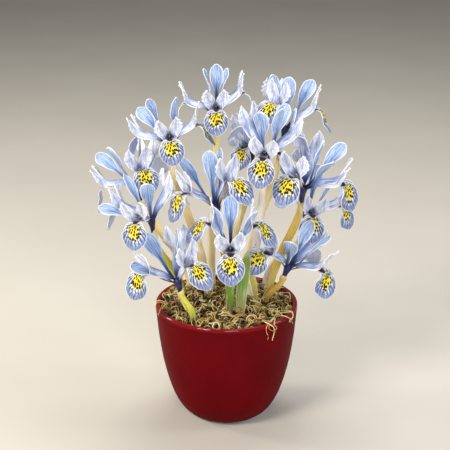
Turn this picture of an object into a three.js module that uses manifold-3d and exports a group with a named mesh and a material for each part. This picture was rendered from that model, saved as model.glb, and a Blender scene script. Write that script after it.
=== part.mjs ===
// A pot of dwarf reticulated irises: a glazed pot filled with potting soil, a mat of dry moss on the
// soil, and a group of plants, each one a bulb with its stem in its sheath, two of them with a leaf.
// Each plant carries one bloom of three falls, three standards and three forked style arms on a short
// tube. Millimetres, +Z up. The origin is the centre of the pot's flat base, and -Y is the front of
// the pot.
import * as THREE from "three";
import { mergeVertices } from "three/addons/utils/BufferGeometryUtils.js";
import Module from "manifold-3d";

const wasm = await Module();
wasm.setup();

// Driving dimensions of the pot. A row of its profile is a height above the table and the radius
// there, and its inside follows the same profile at the inner heights.
const POT_PROFILE = [
  [0, 28.5],
  [1.2, 31.6],
  [7, 37.7],
  [20, 44.5],
  [42, 50.8],
  [66, 54.8],
  [93.4, 57.5],
];
const POT = { height: 96, wall: 4, lip: 1.9, floor: 6, corner: 4, inner: [66, 42, 20], sides: 32 };

// The clearance that each piece keeps from the next
const GAP = 0.35;

// Driving dimensions of the soil and of the moss on it. The mound is its place, its height and its
// spread.
const SOIL = { top: 84, shoulders: [20, 42], sides: 24 };
const MOSS = {
  edge: 10,
  crown: 5,
  bump: 1.9,
  mound: { left: -37, back: 6, rise: 5, spread: 17 },
  shares: [0.88, 0.66, 0.42, 0.18],
  sides: 24,
  seed: 12,
};

// Driving dimensions of a strand of moss that stands out of the mat
const STRAND = {
  count: 14,
  tries: 200,
  radius: 0.85,
  length: 24,
  arch: 6.5,
  sunk: 2.5,
  drift: 5,
  points: 4,
  sides: 3,
  clear: 6,
  fromRim: 3.6,
  seeds: [21, 22],
};

// Driving dimensions of a bulb, its stem and its leaf. A row of the stem is a share of its way up,
// half its width and half its depth. A row of the leaf is a share of its height, how far it leans out,
// half its width and half its depth.
const BULB = { radius: 5.8, top: 62, height: 16, foot: 0.4, belly: 0.62, inset: 0.87 };
const STEM = {
  sides: 6,
  neck: 2.2,
  top: 2,
  rows: [
    [0, 2.6, 2.3],
    [0.25, 3.5, 2.5],
    [0.7, 3.29, 2.5],
    [0.92, 2.5, 2.2],
  ],
};
const LEAF = {
  sides: 6,
  spread: 9,
  start: [4, 1.5],
  neck: [6, 2.88, 1.5],
  rows: [
    [0.05, 0, 3.456, 1.5],
    [0.6, 2.4, 4.8, 1.2],
    [1, 6, 0.7, 0.5],
  ],
};

// Driving dimensions of a full-size bloom. A row of a petal is the distance along it, half its width
// there, and how far its edges stand above its middle. A row of a crest is the distance, the place of
// the lobe's inner and outer edges, and how far each of them stands above the middle.
const PETAL_THICKNESS = 0.7;
const TUBE = { length: 12, foot: 1.7, mouth: 3.3, crown: 2.2, mouthHeight: 0.6, crownHeight: 3, sides: 6 };
const FALL = {
  start: [2.3, -0.6],
  rise: 40,
  reach: 9,
  droop: -68,
  haft: 27,
  knee: 36,
  rows: [
    [0, 0.9, 0.3],
    [14, 2.7, 1.1],
    [27, 3.5, 1.3],
    [32, 7.6, 0.4],
    [38.5, 10.6, -0.9],
    [46, 9.4, -1.3],
    [50.3, 5.6, -1],
    [53, 0, 0],
  ],
};
const STANDARD = {
  start: [2.5, 0.6],
  rise: -12,
  reach: 2,
  droop: -4,
  haft: 14,
  knee: 40,
  rows: [
    [0, 0.8, 0.2],
    [19, 1.9, 0.7],
    [30, 5.8, 1.5],
    [39.5, 5.6, 1.2],
    [44, 0, 0],
  ],
};
const STYLE = {
  start: [0.9, 2.2],
  rise: 50,
  reach: 19,
  droop: 56,
  haft: 20,
  knee: 34,
  rows: [
    [0, 0.9, -0.2],
    [14, 5, -4.4],
    [26, 6.2, -5.2],
  ],
  crest: [
    [30.5, 0.4, 10.4, 0.3, -2.6],
    [37.5, 2.8, 11.4, 0.5, -0.2],
    [43.5, 7, 7, 0.4, 0.4],
  ],
};

// The share of a fall's lift that its foot and its hanging blade take, and the most that one petal is
// turned or twisted more than the next, in degrees
const LIFT_SHARE = { foot: 0.6, blade: 0.4 };
const VARIETY = { fallTwist: 5, styleTurn: 2, styleTwist: 3, standardTwist: 16 };

// Every bloom: the top of its tube, where its stem comes out of the moss, the way it leans and how
// far, and the azimuth and lift of its falls (each with a style arm above it) and of its standards.
// Azimuth 0 is the front of the pot and 90 its right-hand side. The lift of a standard is its angle
// above the horizontal. A third number is how far the petal twists by its tip. A leaf is the way it
// stands from its stem, its height above the moss and the way its face turns.
const BLOOMS = [
  {
    name: "top",
    hub: [-8, 30, 243.5],
    root: [-12, 32],
    lean: [0, 0],
    size: 0.88,
    falls: [[0, 0], [100, 22], [-92, -4]],
    standards: [[178, 84], [62, 80, 60], [-62, 78, -40]],
  },
  {
    name: "top_right",
    hub: [47, 42, 228],
    root: [16, 33],
    lean: [90, 8],
    falls: [[-40, 38], [84, 26], [205, 12]],
    standards: [[122, 68, 35], [-105, 72, -40], [-30, 86]],
  },
  {
    name: "upper_left",
    hub: [-44.5, 14, 223.5],
    root: [-16, 14],
    lean: [-90, 8],
    size: 0.9,
    tube: 20,
    falls: [[6, 2], [88, 8], [-104, -6]],
    standards: [[-80, 78, -60], [58, 76], [-135, 44, -45]],
  },
  {
    name: "far_left",
    hub: [-71, 30, 183],
    root: [-29, 27],
    lean: [-90, 12],
    size: 0.96,
    falls: [[22, 26], [150, 14], [-92, -14]],
    standards: [[-60, 70], [80, 80], [-116, 46, -45]],
  },
  {
    name: "lower_left",
    hub: [-58.5, -17, 170],
    root: [-36, 12],
    lean: [-90, 8],
    size: 0.93,
    falls: [[-20, -2], [122, 28], [-102, 10]],
    standards: [[-78, 30, -45], [10, 66], [-125, 66]],
  },
  {
    name: "centre",
    hub: [-8, -8, 179],
    root: [2, 8],
    lean: [-90, 6],
    size: 1.05,
    falls: [[48, 38], [163, -2], [-60, 16]],
    standards: [[-20, 92], [110, 84], [-122, 56]],
  },
  {
    name: "centre_right",
    hub: [30.5, -4, 218.5],
    root: [19, 9],
    lean: [30, 6],
    size: 0.97,
    falls: [[-8, -4], [106, 18], [-125, 30]],
    standards: [[130, 70, 30], [54, 80], [-30, 74]],
  },
  {
    name: "back",
    hub: [21, 42, 208],
    root: [1, 41],
    lean: [0, 4],
    size: 0.8,
    falls: [[-22, 10], [66, -20], [-152, 8]],
    standards: [[20, 94], [168, 72], [-90, 74]],
  },
  {
    name: "right",
    hub: [60, -2, 192],
    root: [35, 19],
    lean: [20, 12],
    size: 1.04,
    falls: [[-30, 26], [78, -4, 40], [176, 22]],
    standards: [[118, 48, 30], [36, 56], [64, 80]],
  },
  {
    name: "lower_right",
    hub: [66, 44, 153],
    root: [33, 33],
    lean: [90, 8],
    size: 0.97,
    falls: [[4, -2], [90, 6, 55], [-150, 4]],
    standards: [[58, 66], [160, 76], [-60, 76]],
  },
  {
    name: "front",
    hub: [3, -34, 151],
    root: [2, -24],
    lean: [0, 4],
    leaf: [94, 52, 0],
    falls: [[0, 0], [84, 38, 25], [-86, 44, -25]],
    standards: [[178, 86], [58, 64], [-56, 74]],
  },
  {
    name: "front_left",
    hub: [-38, -38, 128],
    root: [-26, -33],
    lean: [-60, 16],
    falls: [[46, 26], [166, 14], [-66, 24, -45]],
    standards: [[-58, 48, -50], [-138, 60, -20], [100, 80]],
  },
  {
    name: "front_right",
    hub: [49, 0, 124],
    root: [32, 0],
    lean: [90, 22],
    size: 0.98,
    leaf: [-90, 26, 60],
    falls: [[-58, 0, -40], [65, 4, 55], [145, 22]],
    standards: [[-22, 48], [78, 66, 20], [140, 88]],
  },
];

// Strands of moss that hang over the rim: the azimuth of each, how far round it drifts and how far
// down it reaches
const HANGING = [
  [33, 6, 14],
  [44, -5, 6],
  [60, 4, 9],
];

const radians = (degrees) => (degrees * Math.PI) / 180;
const mix = (a, b, t) => a + (b - a) * t;
const smooth = (low, high, x) => {
  const t = Math.min(1, Math.max(0, (x - low) / (high - low)));
  return t * t * (3 - 2 * t);
};
const UP = new THREE.Vector3(0, 0, 1);

// A repeatable number from -1 to 1 for a piece, so that no two pieces are quite alike.
const vary = (a, b, c) => {
  const wave = Math.sin(12.9898 * a + 78.233 * b + 37.719 * c) * 4758.5453;
  return 2 * (wave - Math.floor(wave)) - 1;
};

// The horizontal direction of an azimuth.
const heading = (azimuth) => new THREE.Vector3(Math.sin(radians(azimuth)), -Math.cos(radians(azimuth)), 0);

// The value at x in a table of rising keys and their values.
const interpolate = (table, x) => {
  const after = table.findIndex(([key]) => key >= x);
  if (after <= 0) return after === 0 ? table[0][1] : table[table.length - 1][1];
  const [low, high] = [table[after - 1], table[after]];
  return mix(low[1], high[1], (x - low[0]) / (high[0] - low[0]));
};

// Solids

// A solid of points and the faces between them.
function solidFrom(points, faces) {
  return new wasm.Manifold(
    new wasm.Mesh({
      numProp: 3,
      vertProperties: new Float32Array(points.flatMap((p) => [p.x, p.y, p.z])),
      triVerts: new Uint32Array(faces.flat()),
    }),
  );
}

// A profile of radii and heights turned round the upright axis.
function turned(profile, sides) {
  const lathe = new THREE.LatheGeometry(profile.map(([r, z]) => new THREE.Vector2(r, z)), sides);
  lathe.deleteAttribute("normal");
  lathe.deleteAttribute("uv");
  const merged = mergeVertices(lathe.rotateX(Math.PI / 2), 1e-4);
  const points = [];
  for (let i = 0; i < merged.attributes.position.count; i++)
    points.push(new THREE.Vector3().fromBufferAttribute(merged.attributes.position, i));
  return solidFrom(points, [Array.from(merged.index.array)]);
}

// A named mesh of a solid.
function meshOf(name, solid, material) {
  const { vertProperties, triVerts } = solid.getMesh();
  const geometry = new THREE.BufferGeometry();
  geometry.setAttribute("position", new THREE.BufferAttribute(new Float32Array(vertProperties), 3));
  geometry.setIndex(new THREE.BufferAttribute(new Uint32Array(triVerts), 1));
  geometry.computeVertexNormals();
  const mesh = new THREE.Mesh(geometry, material);
  mesh.name = name;
  return mesh;
}

const join = (solids) => solids.reduce((all, one) => all.add(one));

// A thin sheet of even thickness over a triangulated surface.
function thickSheet(points, faces) {
  const normals = points.map(() => new THREE.Vector3());
  for (const [a, b, c] of faces) {
    const normal = points[b].clone().sub(points[a]).cross(points[c].clone().sub(points[a]));
    for (const i of [a, b, c]) normals[i].add(normal);
  }
  normals.forEach((normal) => normal.normalize());
  const count = points.length;
  const shifted = (way) => points.map((p, i) => p.clone().addScaledVector(normals[i], way));
  const edges = new Map();
  for (const face of faces)
    face.forEach((from, i) => {
      const to = face[(i + 1) % 3];
      if (!edges.delete(to + " " + from)) edges.set(from + " " + to, [from, to]);
    });
  const walls = [...edges.values()].flatMap(([a, b]) => [
    [b, a, a + count],
    [b, a + count, b + count],
  ]);
  const under = faces.map(([a, b, c]) => [c + count, b + count, a + count]);
  const half = PETAL_THICKNESS / 2;
  return solidFrom([...shifted(half), ...shifted(-half)], [...faces, ...under, ...walls]);
}

// A body through closed rings of equally many points, with a flat cap at each end.
function loft(rings) {
  const sides = rings[0].length;
  const last = (rings.length - 1) * sides;
  const faces = [];
  for (let row = 0; row < last; row += sides)
    for (let s = 0; s < sides; s++) {
      const a = row + s;
      const b = row + ((s + 1) % sides);
      faces.push([a, b, b + sides], [a, b + sides, a + sides]);
    }
  for (let s = 1; s + 1 < sides; s++) faces.push([0, s + 1, s], [last, last + s, last + s + 1]);
  return solidFrom(rings.flat(), faces);
}

// A ring of points round a centre, square to a direction, wide along one side way and deep across it.
function ringAt(centre, forward, sideways, wide, deep, sides) {
  const side = sideways.clone().addScaledVector(forward, -sideways.dot(forward)).normalize();
  const back = forward.clone().cross(side).normalize();
  return Array.from({ length: sides }, (_, i) => {
    const turn = (2 * Math.PI * i) / sides;
    return centre
      .clone()
      .addScaledVector(side, wide * Math.cos(turn))
      .addScaledVector(back, deep * Math.sin(turn));
  });
}

// Petals

// The length of a petal along its middle line, with its crest if it has one.
function lengthOf({ rows, crest = [] }) {
  const [distance] = [...rows, ...crest].at(-1);
  return distance;
}

// The middle line of a petal. It leaves the tube at one angle above the horizontal, eases to a second
// angle along its haft and turns to a third at its knee. The line is walked in short steps.
function petalLine(shape, size, angles) {
  const stepsPerMillimetre = 2;
  const count = lengthOf(shape) * stepsPerMillimetre;
  const [out, up] = shape.start;
  const line = [{ out: out * size, up: up * size, angle: angles.rise }];
  for (let i = 1; i <= count; i++) {
    const s = (i - 0.5) / stepsPerMillimetre;
    const eased = mix(angles.rise, angles.reach, smooth(0, shape.haft, s));
    const angle = mix(eased, angles.droop, smooth(shape.haft, shape.knee, s));
    const before = line[i - 1];
    line.push({
      out: before.out + (size / stepsPerMillimetre) * Math.cos(radians(angle)),
      up: before.up + (size / stepsPerMillimetre) * Math.sin(radians(angle)),
      angle,
    });
  }
  return (distance) => line[Math.round(distance * stepsPerMillimetre)];
}

// Gives the point of a petal at a distance along it, so far to the side of its middle and above its
// surface.
function petalPlacer(shape, size, azimuth, angles, twist) {
  const line = petalLine(shape, size, angles);
  const ahead = heading(azimuth);
  const across = new THREE.Vector3(-ahead.y, ahead.x, 0);
  const end = lengthOf(shape);
  return (distance, side, above) => {
    const { out, up, angle } = line(distance);
    const turn = radians(twist * (distance / end) ** 2);
    const sideways = size * (side * Math.cos(turn) - above * Math.sin(turn));
    const lifted = size * (side * Math.sin(turn) + above * Math.cos(turn));
    return ahead
      .clone()
      .multiplyScalar(out - lifted * Math.sin(radians(angle)))
      .addScaledVector(across, sideways)
      .addScaledVector(UP, up + lifted * Math.cos(radians(angle)));
  };
}

// The points of a petal. Its first row, hidden in the tube, is two points wide and the others are
// three.
function petalPoints(rows, at) {
  return rows.flatMap(([distance, half, edge], row) =>
    (row === 0 ? [-1, 1] : [-1, 0, 1]).map((side) => at(distance, side * half, Math.abs(side) * edge)),
  );
}

// The faces between the rows of a petal with that many rows.
function petalFaces(rowCount) {
  const faces = [
    [0, 2, 3],
    [0, 3, 1],
    [1, 3, 4],
  ];
  for (let a = 2; a < 3 * rowCount - 4; a += 3) {
    faces.push([a, a + 4, a + 1], [a, a + 3, a + 4]);
    faces.push([a + 1, a + 5, a + 2], [a + 1, a + 4, a + 5]);
  }
  return faces;
}

// A petal that ends in one point.
function petal(shape, size, azimuth, angles, twist) {
  const at = petalPlacer(shape, size, azimuth, angles, twist);
  const rows = shape.rows.slice(0, -1);
  const tip = at(shape.rows[rows.length][0], 0, 0);
  const points = [...petalPoints(rows, at), tip];
  const a = points.length - 4;
  return thickSheet(points, [...petalFaces(rows.length), [a, a + 3, a + 1], [a + 1, a + 3, a + 2]]);
}

// A style arm: a strap roofed over the haft of a fall, whose end forks into the two lobes of its crest.
function styleArm(size, azimuth, angles, twist) {
  const at = petalPlacer(STYLE, size, azimuth, angles, twist);
  const points = petalPoints(STYLE.rows, at);
  const faces = petalFaces(STYLE.rows.length);
  const middle = points.length - 2;
  const [low, high, tip] = STYLE.crest;
  for (const side of [-1, 1]) {
    const corner = middle + side;
    const first = points.length;
    for (const [distance, inner, outer, innerEdge, outerEdge] of [low, high])
      points.push(at(distance, side * outer, outerEdge), at(distance, side * inner, innerEdge));
    points.push(at(tip[0], side * tip[1], tip[3]));
    const lobe = [
      [corner, first, first + 1],
      [corner, first + 1, middle],
      [first, first + 2, first + 3],
      [first, first + 3, first + 1],
      [first + 2, first + 4, first + 3],
    ];
    faces.push(...lobe.map(([a, b, c]) => (side < 0 ? [a, b, c] : [a, c, b])));
  }
  return thickSheet(points, faces);
}

// The turn that tips a bloom from upright to its lean.
function leanOf({ lean: [azimuth, degrees] }) {
  const axis = UP.clone().cross(heading(azimuth)).normalize();
  return new THREE.Quaternion().setFromAxisAngle(axis, radians(degrees));
}

const sizeOf = (bloom) => bloom.size ?? 1;
const tubeLength = (bloom) => (bloom.tube ?? TUBE.length) * sizeOf(bloom);

// The tube under a bloom, widest where the petals leave it.
function tubeSolid(bloom) {
  const size = sizeOf(bloom);
  const side = new THREE.Vector3(1, 0, 0);
  const ring = (z, radius) =>
    ringAt(new THREE.Vector3(0, 0, z), UP, side, radius * size, radius * size, TUBE.sides);
  return loft([
    ring(-tubeLength(bloom), TUBE.foot),
    ring(TUBE.mouthHeight, TUBE.mouth),
    ring(TUBE.crownHeight, TUBE.crown),
  ]);
}

// A whole bloom: the tube, and the petals that grow from it.
function bloomSolid(bloom, index) {
  const size = sizeOf(bloom);
  const pieces = [tubeSolid(bloom)];
  const lifted = (shape, lift) => ({
    rise: shape.rise + lift * LIFT_SHARE.foot,
    reach: shape.reach + lift,
    droop: shape.droop + lift * LIFT_SHARE.blade,
  });
  bloom.falls.forEach(([azimuth, lift, turn], i) => {
    const twist = turn ?? VARIETY.fallTwist * vary(index, i, 1);
    pieces.push(petal(FALL, size, azimuth, lifted(FALL, lift), twist));
    const styleAzimuth = azimuth + VARIETY.styleTurn * vary(index, i, 2);
    const styleTwist = VARIETY.styleTwist * vary(index, i, 3);
    pieces.push(styleArm(size, styleAzimuth, lifted(STYLE, lift), styleTwist));
  });
  bloom.standards.forEach(([azimuth, lift, turn], i) => {
    const { rise, reach, droop } = STANDARD;
    const angles = { rise: lift + rise, reach: lift + reach, droop: lift + droop };
    const twist = turn ?? VARIETY.standardTwist * vary(index, i, 4);
    pieces.push(petal(STANDARD, size, azimuth, angles, twist));
  });
  const place = new THREE.Matrix4().compose(
    new THREE.Vector3(...bloom.hub),
    leanOf(bloom),
    new THREE.Vector3(1, 1, 1),
  );
  return join(pieces).transform(place.elements);
}

// Bulbs, stems and leaves

const mossLevel = POT.height;

// Where a leaf comes out of the moss.
function leafRoot({ root, leaf }) {
  const stem = new THREE.Vector3(...root, mossLevel);
  return heading(leaf[0]).multiplyScalar(LEAF.spread).add(stem);
}

// Where every stem and leaf comes out of the moss.
const shootPlaces = BLOOMS.map((bloom) => bloom.root);
for (const bloom of BLOOMS.filter(({ leaf }) => leaf)) shootPlaces.push(leafRoot(bloom).toArray());

// The line of a stem from the moss to the foot of its bloom's tube. It leaves the moss in line with
// the bulb and meets the tube in line with the tube.
function stemLine(bloom) {
  const axis = UP.clone().applyQuaternion(leanOf(bloom));
  const foot = new THREE.Vector3(...bloom.hub).addScaledVector(axis, -tubeLength(bloom) - GAP);
  const root = new THREE.Vector3(...bloom.root, mossLevel);
  const bulb = new THREE.Vector3(bloom.root[0] * BULB.inset, bloom.root[1] * BULB.inset, BULB.top);
  const reach = foot.distanceTo(root);
  const rising = root.clone().sub(bulb).normalize();
  const [lower, upper] = [0.4, 0.3];
  const line = new THREE.CubicBezierCurve3(
    root,
    root.clone().addScaledVector(rising, reach * lower),
    foot.clone().addScaledVector(axis, -reach * upper),
    foot,
  );
  return { line, bulb, axis };
}

// A bulb with its stem in its sheath, grown all round by a clearance where it is used to cut a hole.
function stemSolid(bloom, grow) {
  const { line, bulb, axis } = stemLine(bloom);
  const side = heading(bloom.falls[0][0] + 90);
  const ring = (centre, forward, wide, deep) =>
    ringAt(centre, forward, side, wide + grow, deep + grow, STEM.sides);
  const below = (drop, radius) => ring(bulb.clone().addScaledVector(UP, -drop), UP, radius, radius);
  const rings = [
    below(BULB.height + grow, BULB.radius * BULB.foot),
    below(BULB.height * BULB.belly, BULB.radius),
    below(0, STEM.neck),
  ];
  for (const [t, wide, deep] of STEM.rows)
    rings.push(ring(line.getPoint(t), line.getTangent(t), wide, deep));
  rings.push(ring(line.getPoint(1), axis, STEM.top, STEM.top));
  return loft(rings);
}

// A leaf that comes up from the shoulder of the bulb beside the stem and ends in a point.
function leafSolid(bloom, grow) {
  const [azimuth, height, face] = bloom.leaf;
  const { bulb } = stemLine(bloom);
  const away = heading(azimuth);
  const side = heading(face + 90);
  const root = leafRoot(bloom);
  const ring = (centre, wide, deep) => ringAt(centre, UP, side, wide + grow, deep + grow, LEAF.sides);
  const [startDrop, startRadius] = LEAF.start;
  const [neckDrop, neckWide, neckDeep] = LEAF.neck;
  const rings = [
    ring(bulb.clone().addScaledVector(UP, -startDrop), startRadius, startRadius),
    ring(root.clone().setZ(SOIL.top - neckDrop), neckWide, neckDeep),
  ];
  for (const [share, lean, wide, deep] of LEAF.rows) {
    const centre = root.clone().addScaledVector(UP, height * share).addScaledVector(away, lean);
    rings.push(ring(centre, wide, deep));
  }
  return loft(rings);
}

// Everything of one plant below its bloom.
function plantSolid(bloom, grow) {
  const stem = stemSolid(bloom, grow);
  return bloom.leaf ? stem.add(leafSolid(bloom, grow)) : stem;
}

// Pot, soil and moss

const outerRadius = (z) => interpolate(POT_PROFILE, z);
const innerRadius = (z) => outerRadius(z) - POT.wall;
const floorEdge = innerRadius(POT.floor) - POT.corner;

// The flats of the pot's faceted wall stand this share of the radius from its axis.
const flatShare = Math.cos(Math.PI / POT.sides);

// The pot: a foot without a hole, a wall that swells upwards and a rounded lip.
function potSolid() {
  const lip = [30, 90, 150].map((degrees) => {
    const middle = outerRadius(POT.height) - POT.wall / 2;
    const round = radians(degrees);
    return [middle + (POT.wall / 2) * Math.cos(round), POT.height - POT.lip + POT.lip * Math.sin(round)];
  });
  const outer = POT_PROFILE.map(([z, r]) => [r, z]);
  const inner = POT.inner.map((z) => [innerRadius(z), z]);
  return turned([[0, 0], ...outer, ...lip, ...inner, [floorEdge, POT.floor], [0, POT.floor]], POT.sides);
}

// A solid with a plain hole for each plant that stands in it.
const withPlantHoles = (solid) =>
  BLOOMS.reduce((left, bloom) => left.subtract(plantSolid(bloom, GAP)), solid);

// The body of soil, before the holes for the bulbs and stems.
function soilBody() {
  const bottom = POT.floor + GAP;
  const wall = [...SOIL.shoulders, SOIL.top].map((z) => [innerRadius(z) * flatShare - GAP, z]);
  return turned([[0, bottom], [floorEdge - GAP, bottom], ...wall, [0, SOIL.top]], SOIL.sides);
}

// The height of the moss at a place: it rises to a crown in the middle and has one mound at the left.
function mossHeight(x, y) {
  const share = Math.min(1, Math.hypot(x, y) / innerRadius(SOIL.top));
  const { left, back, rise, spread } = MOSS.mound;
  const mound = rise * Math.exp(-((x - left) ** 2 + (y - back) ** 2) / spread ** 2);
  return SOIL.top + GAP + MOSS.edge + MOSS.crown * (1 - share ** 2) + mound;
}

// A mat of moss that fills the pot above the soil, with a lumpy top.
function mossMat() {
  const rim = innerRadius(SOIL.top) * flatShare - GAP;
  const ring = (share, heightAt) =>
    Array.from({ length: MOSS.sides }, (_, i) => {
      const turn = (2 * Math.PI * i) / MOSS.sides;
      const x = rim * share * Math.cos(turn);
      const y = rim * share * Math.sin(turn);
      return new THREE.Vector3(x, y, heightAt(x, y, i));
    });
  const lumpy = (x, y, i) => mossHeight(x, y) + MOSS.bump * vary(i, x, MOSS.seed);
  const top = [1, ...MOSS.shares].map((share) => ring(share, lumpy));
  return loft([ring(1, () => SOIL.top + GAP), ...top]);
}

// A strand through a list of points, with both ends left inside the mat.
function strand(points) {
  const curve = new THREE.CatmullRomCurve3(points);
  const side = UP.clone().addScaledVector(heading(45), 0.3);
  const rings = points.map((point, i) => {
    const along = curve.getTangent(i / (points.length - 1));
    return ringAt(point, along, side, STRAND.radius, STRAND.radius, STRAND.sides);
  });
  return loft(rings);
}

// A strand that arches over the mat from one place to another, or nothing where it would meet a stem
// or the pot. The strands are spread round the mat by the golden angle, and lie more or less square to
// the radius.
function archedStrand(index) {
  const [placeSeed, waySeed] = STRAND.seeds;
  const goldenAngle = 137.5;
  const share = mix(0.2, 0.88, Math.abs(vary(index, 1, placeSeed)));
  const turn = index * goldenAngle;
  const middle = heading(turn).multiplyScalar(share * innerRadius(SOIL.top));
  const way = heading(turn + 90 + 70 * vary(index, 2, waySeed));
  const points = Array.from({ length: STRAND.points }, (_, i) => {
    const t = i / (STRAND.points - 1);
    const point = middle.clone().addScaledVector(way, STRAND.length * (t - 0.5));
    point.addScaledVector(way.clone().cross(UP), STRAND.drift * Math.sin(2 * Math.PI * t + index));
    return point.setZ(mossHeight(point.x, point.y) - STRAND.sunk + STRAND.arch * Math.sin(Math.PI * t));
  });
  const limit = innerRadius(POT.height) - STRAND.fromRim;
  const near = (point, at) => Math.hypot(point.x - at[0], point.y - at[1]) < STRAND.clear;
  const blocked = points.some((p) => Math.hypot(p.x, p.y) > limit || shootPlaces.some((at) => near(p, at)));
  return blocked ? null : strand(points);
}

// A strand that comes out of the mat, over the lip of the pot and down its outside.
function hangingStrand([azimuth, drift, drop]) {
  const clear = STRAND.radius + 2 * GAP;
  const edge = outerRadius(POT.height);
  const at = (turn, radius, z) => heading(azimuth + drift * turn).multiplyScalar(radius).setZ(z);
  const start = at(0, edge - 3 * POT.wall, 0);
  return strand([
    start.setZ(mossHeight(start.x, start.y) - STRAND.sunk),
    at(0.2, edge - POT.wall, POT.height + clear),
    at(0.4, edge - GAP, POT.height + clear),
    at(0.6, edge + clear, POT.height - POT.lip),
    at(1, edge + clear, POT.height - drop),
  ]);
}

// The moss: the mat with its holes for the stems, and the strands rooted in it.
function mossSolid() {
  const strands = HANGING.map(hangingStrand);
  for (let i = 0; strands.length < STRAND.count && i < STRAND.tries; i++) {
    const arched = archedStrand(i);
    if (arched) strands.push(arched);
  }
  return join([withPlantHoles(mossMat()), ...strands]);
}

// Materials

const glaze = new THREE.MeshStandardMaterial({ color: 0x7d0d12, roughness: 0.12, metalness: 0 });
const earth = new THREE.MeshStandardMaterial({ color: 0x2e2218, roughness: 0.95, metalness: 0 });
const dryMoss = new THREE.MeshStandardMaterial({ color: 0xa08d4e, roughness: 0.9, metalness: 0 });
const sheathGreen = new THREE.MeshStandardMaterial({ color: 0xc9bd6a, roughness: 0.55, metalness: 0 });
const paleBlue = new THREE.MeshStandardMaterial({ color: 0xb9c6ea, roughness: 0.5, metalness: 0 });

// The part

const part = new THREE.Group();
part.add(meshOf("pot", potSolid(), glaze));
part.add(meshOf("soil", withPlantHoles(soilBody()), earth));
part.add(meshOf("moss", mossSolid(), dryMoss));
BLOOMS.forEach((bloom, i) => {
  part.add(meshOf("plant_" + bloom.name, plantSolid(bloom, 0), sheathGreen));
  part.add(meshOf("bloom_" + bloom.name, bloomSolid(bloom, i), paleBlue));
});

export default part;
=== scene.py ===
"""A glazed pot of dwarf reticulated irises in bloom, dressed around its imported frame.

Metres, +Z up, with the origin at the centre of the pot's flat base and -Y at the front. Sizes are written in
millimetres, as the solids have them, and turned into metres where a mesh is made.
"""

import logging
import math
from collections.abc import Sequence
from dataclasses import dataclass, field, replace
from enum import Enum

import bpy
import numpy as np
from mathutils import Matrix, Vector


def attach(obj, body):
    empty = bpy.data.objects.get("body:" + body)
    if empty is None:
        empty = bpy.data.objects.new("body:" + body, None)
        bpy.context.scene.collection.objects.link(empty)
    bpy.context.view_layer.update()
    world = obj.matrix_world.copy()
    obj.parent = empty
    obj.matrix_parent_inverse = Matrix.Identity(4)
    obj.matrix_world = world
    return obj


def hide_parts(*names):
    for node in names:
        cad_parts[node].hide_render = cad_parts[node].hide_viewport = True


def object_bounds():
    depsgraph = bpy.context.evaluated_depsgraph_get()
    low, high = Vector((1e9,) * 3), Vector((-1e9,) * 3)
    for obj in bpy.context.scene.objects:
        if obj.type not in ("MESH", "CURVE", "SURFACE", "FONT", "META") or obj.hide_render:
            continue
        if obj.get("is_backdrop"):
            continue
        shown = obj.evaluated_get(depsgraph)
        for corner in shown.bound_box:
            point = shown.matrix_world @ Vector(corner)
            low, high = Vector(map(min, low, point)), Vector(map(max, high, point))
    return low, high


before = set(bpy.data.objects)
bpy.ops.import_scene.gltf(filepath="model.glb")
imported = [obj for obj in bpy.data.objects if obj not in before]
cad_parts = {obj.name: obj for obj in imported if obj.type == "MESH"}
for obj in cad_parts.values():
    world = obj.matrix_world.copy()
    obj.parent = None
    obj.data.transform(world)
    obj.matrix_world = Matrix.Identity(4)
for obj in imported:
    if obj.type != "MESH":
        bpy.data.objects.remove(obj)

Array = np.ndarray
Piece = bpy.types.Object
Material = bpy.types.Material
Rows = tuple[tuple[float, ...], ...]
Cells = tuple[int, int]
Key = int | str

LOG = logging.getLogger("iris_pot")
MM = 0.001
UP = np.array([0.0, 0.0, 1.0])


# The forms of the petals and the plan of the group, as in the solids


@dataclass(frozen=True)
class PetalForm:
    """The form of one kind of petal, in rows of its distance, half its width and how far its edges stand up.

    Its middle line starts so far out from the top of the tube and above it. The line's angles above the
    horizontal are those at its foot, at the end of its haft and past its knee, and each has its share of a
    lift. A twist is whole at twist_at.
    """

    start: tuple[float, float]
    angles: tuple[float, float, float]
    haft: float
    knee: float
    twist_at: float
    rows: Rows
    lift_shares: tuple[float, float, float] = (0.6, 1, 0.4)

    @property
    def length(self) -> float:
        """The distance from the foot of the petal to its tip."""
        return self.rows[-1][0]


FALL_ROWS = (
    (0, 0.9, 0.3), (14, 2.7, 1.1), (27, 3.5, 1.3), (32, 7.6, 0.4),
    (38.5, 10.6, -0.9), (46, 9.4, -1.3), (50.3, 5.6, -1), (53, 0, -1),
)
STANDARD_ROWS = ((0, 0.8, 0.2), (19, 1.9, 0.7), (30, 5.8, 1.5), (39.5, 5.6, 1.2), (44, 0, 1))
# Half of a style arm with its lobe of the crest: the distance, the places of its inner and its outer edge,
# and how far each of them stands above the middle
STYLE_ROWS = (
    (0, 0, 0.9, 0, -0.2), (14, 0, 5, 0, -4.4), (26, 0, 6.2, 0, -5.2), (30.5, 0.4, 10.4, 0.3, -2.6),
    (34.5, 1.4, 12, 0.5, -0.8), (39, 3.8, 10.8, 0.6, 0.2), (43.5, 7, 7.2, 0.4, 0.4),
)
FALL = PetalForm((2.3, -0.6), (40, 9, -68), 27, 36, 53, FALL_ROWS)
STANDARD = PetalForm((2.5, 0.6), (-12, 2, -4), 14, 40, 44, STANDARD_ROWS, lift_shares=(1, 1, 1))
STYLE = PetalForm((0.9, 2.2), (50, 19, 56), 20, 34, 26, STYLE_ROWS)


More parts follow.
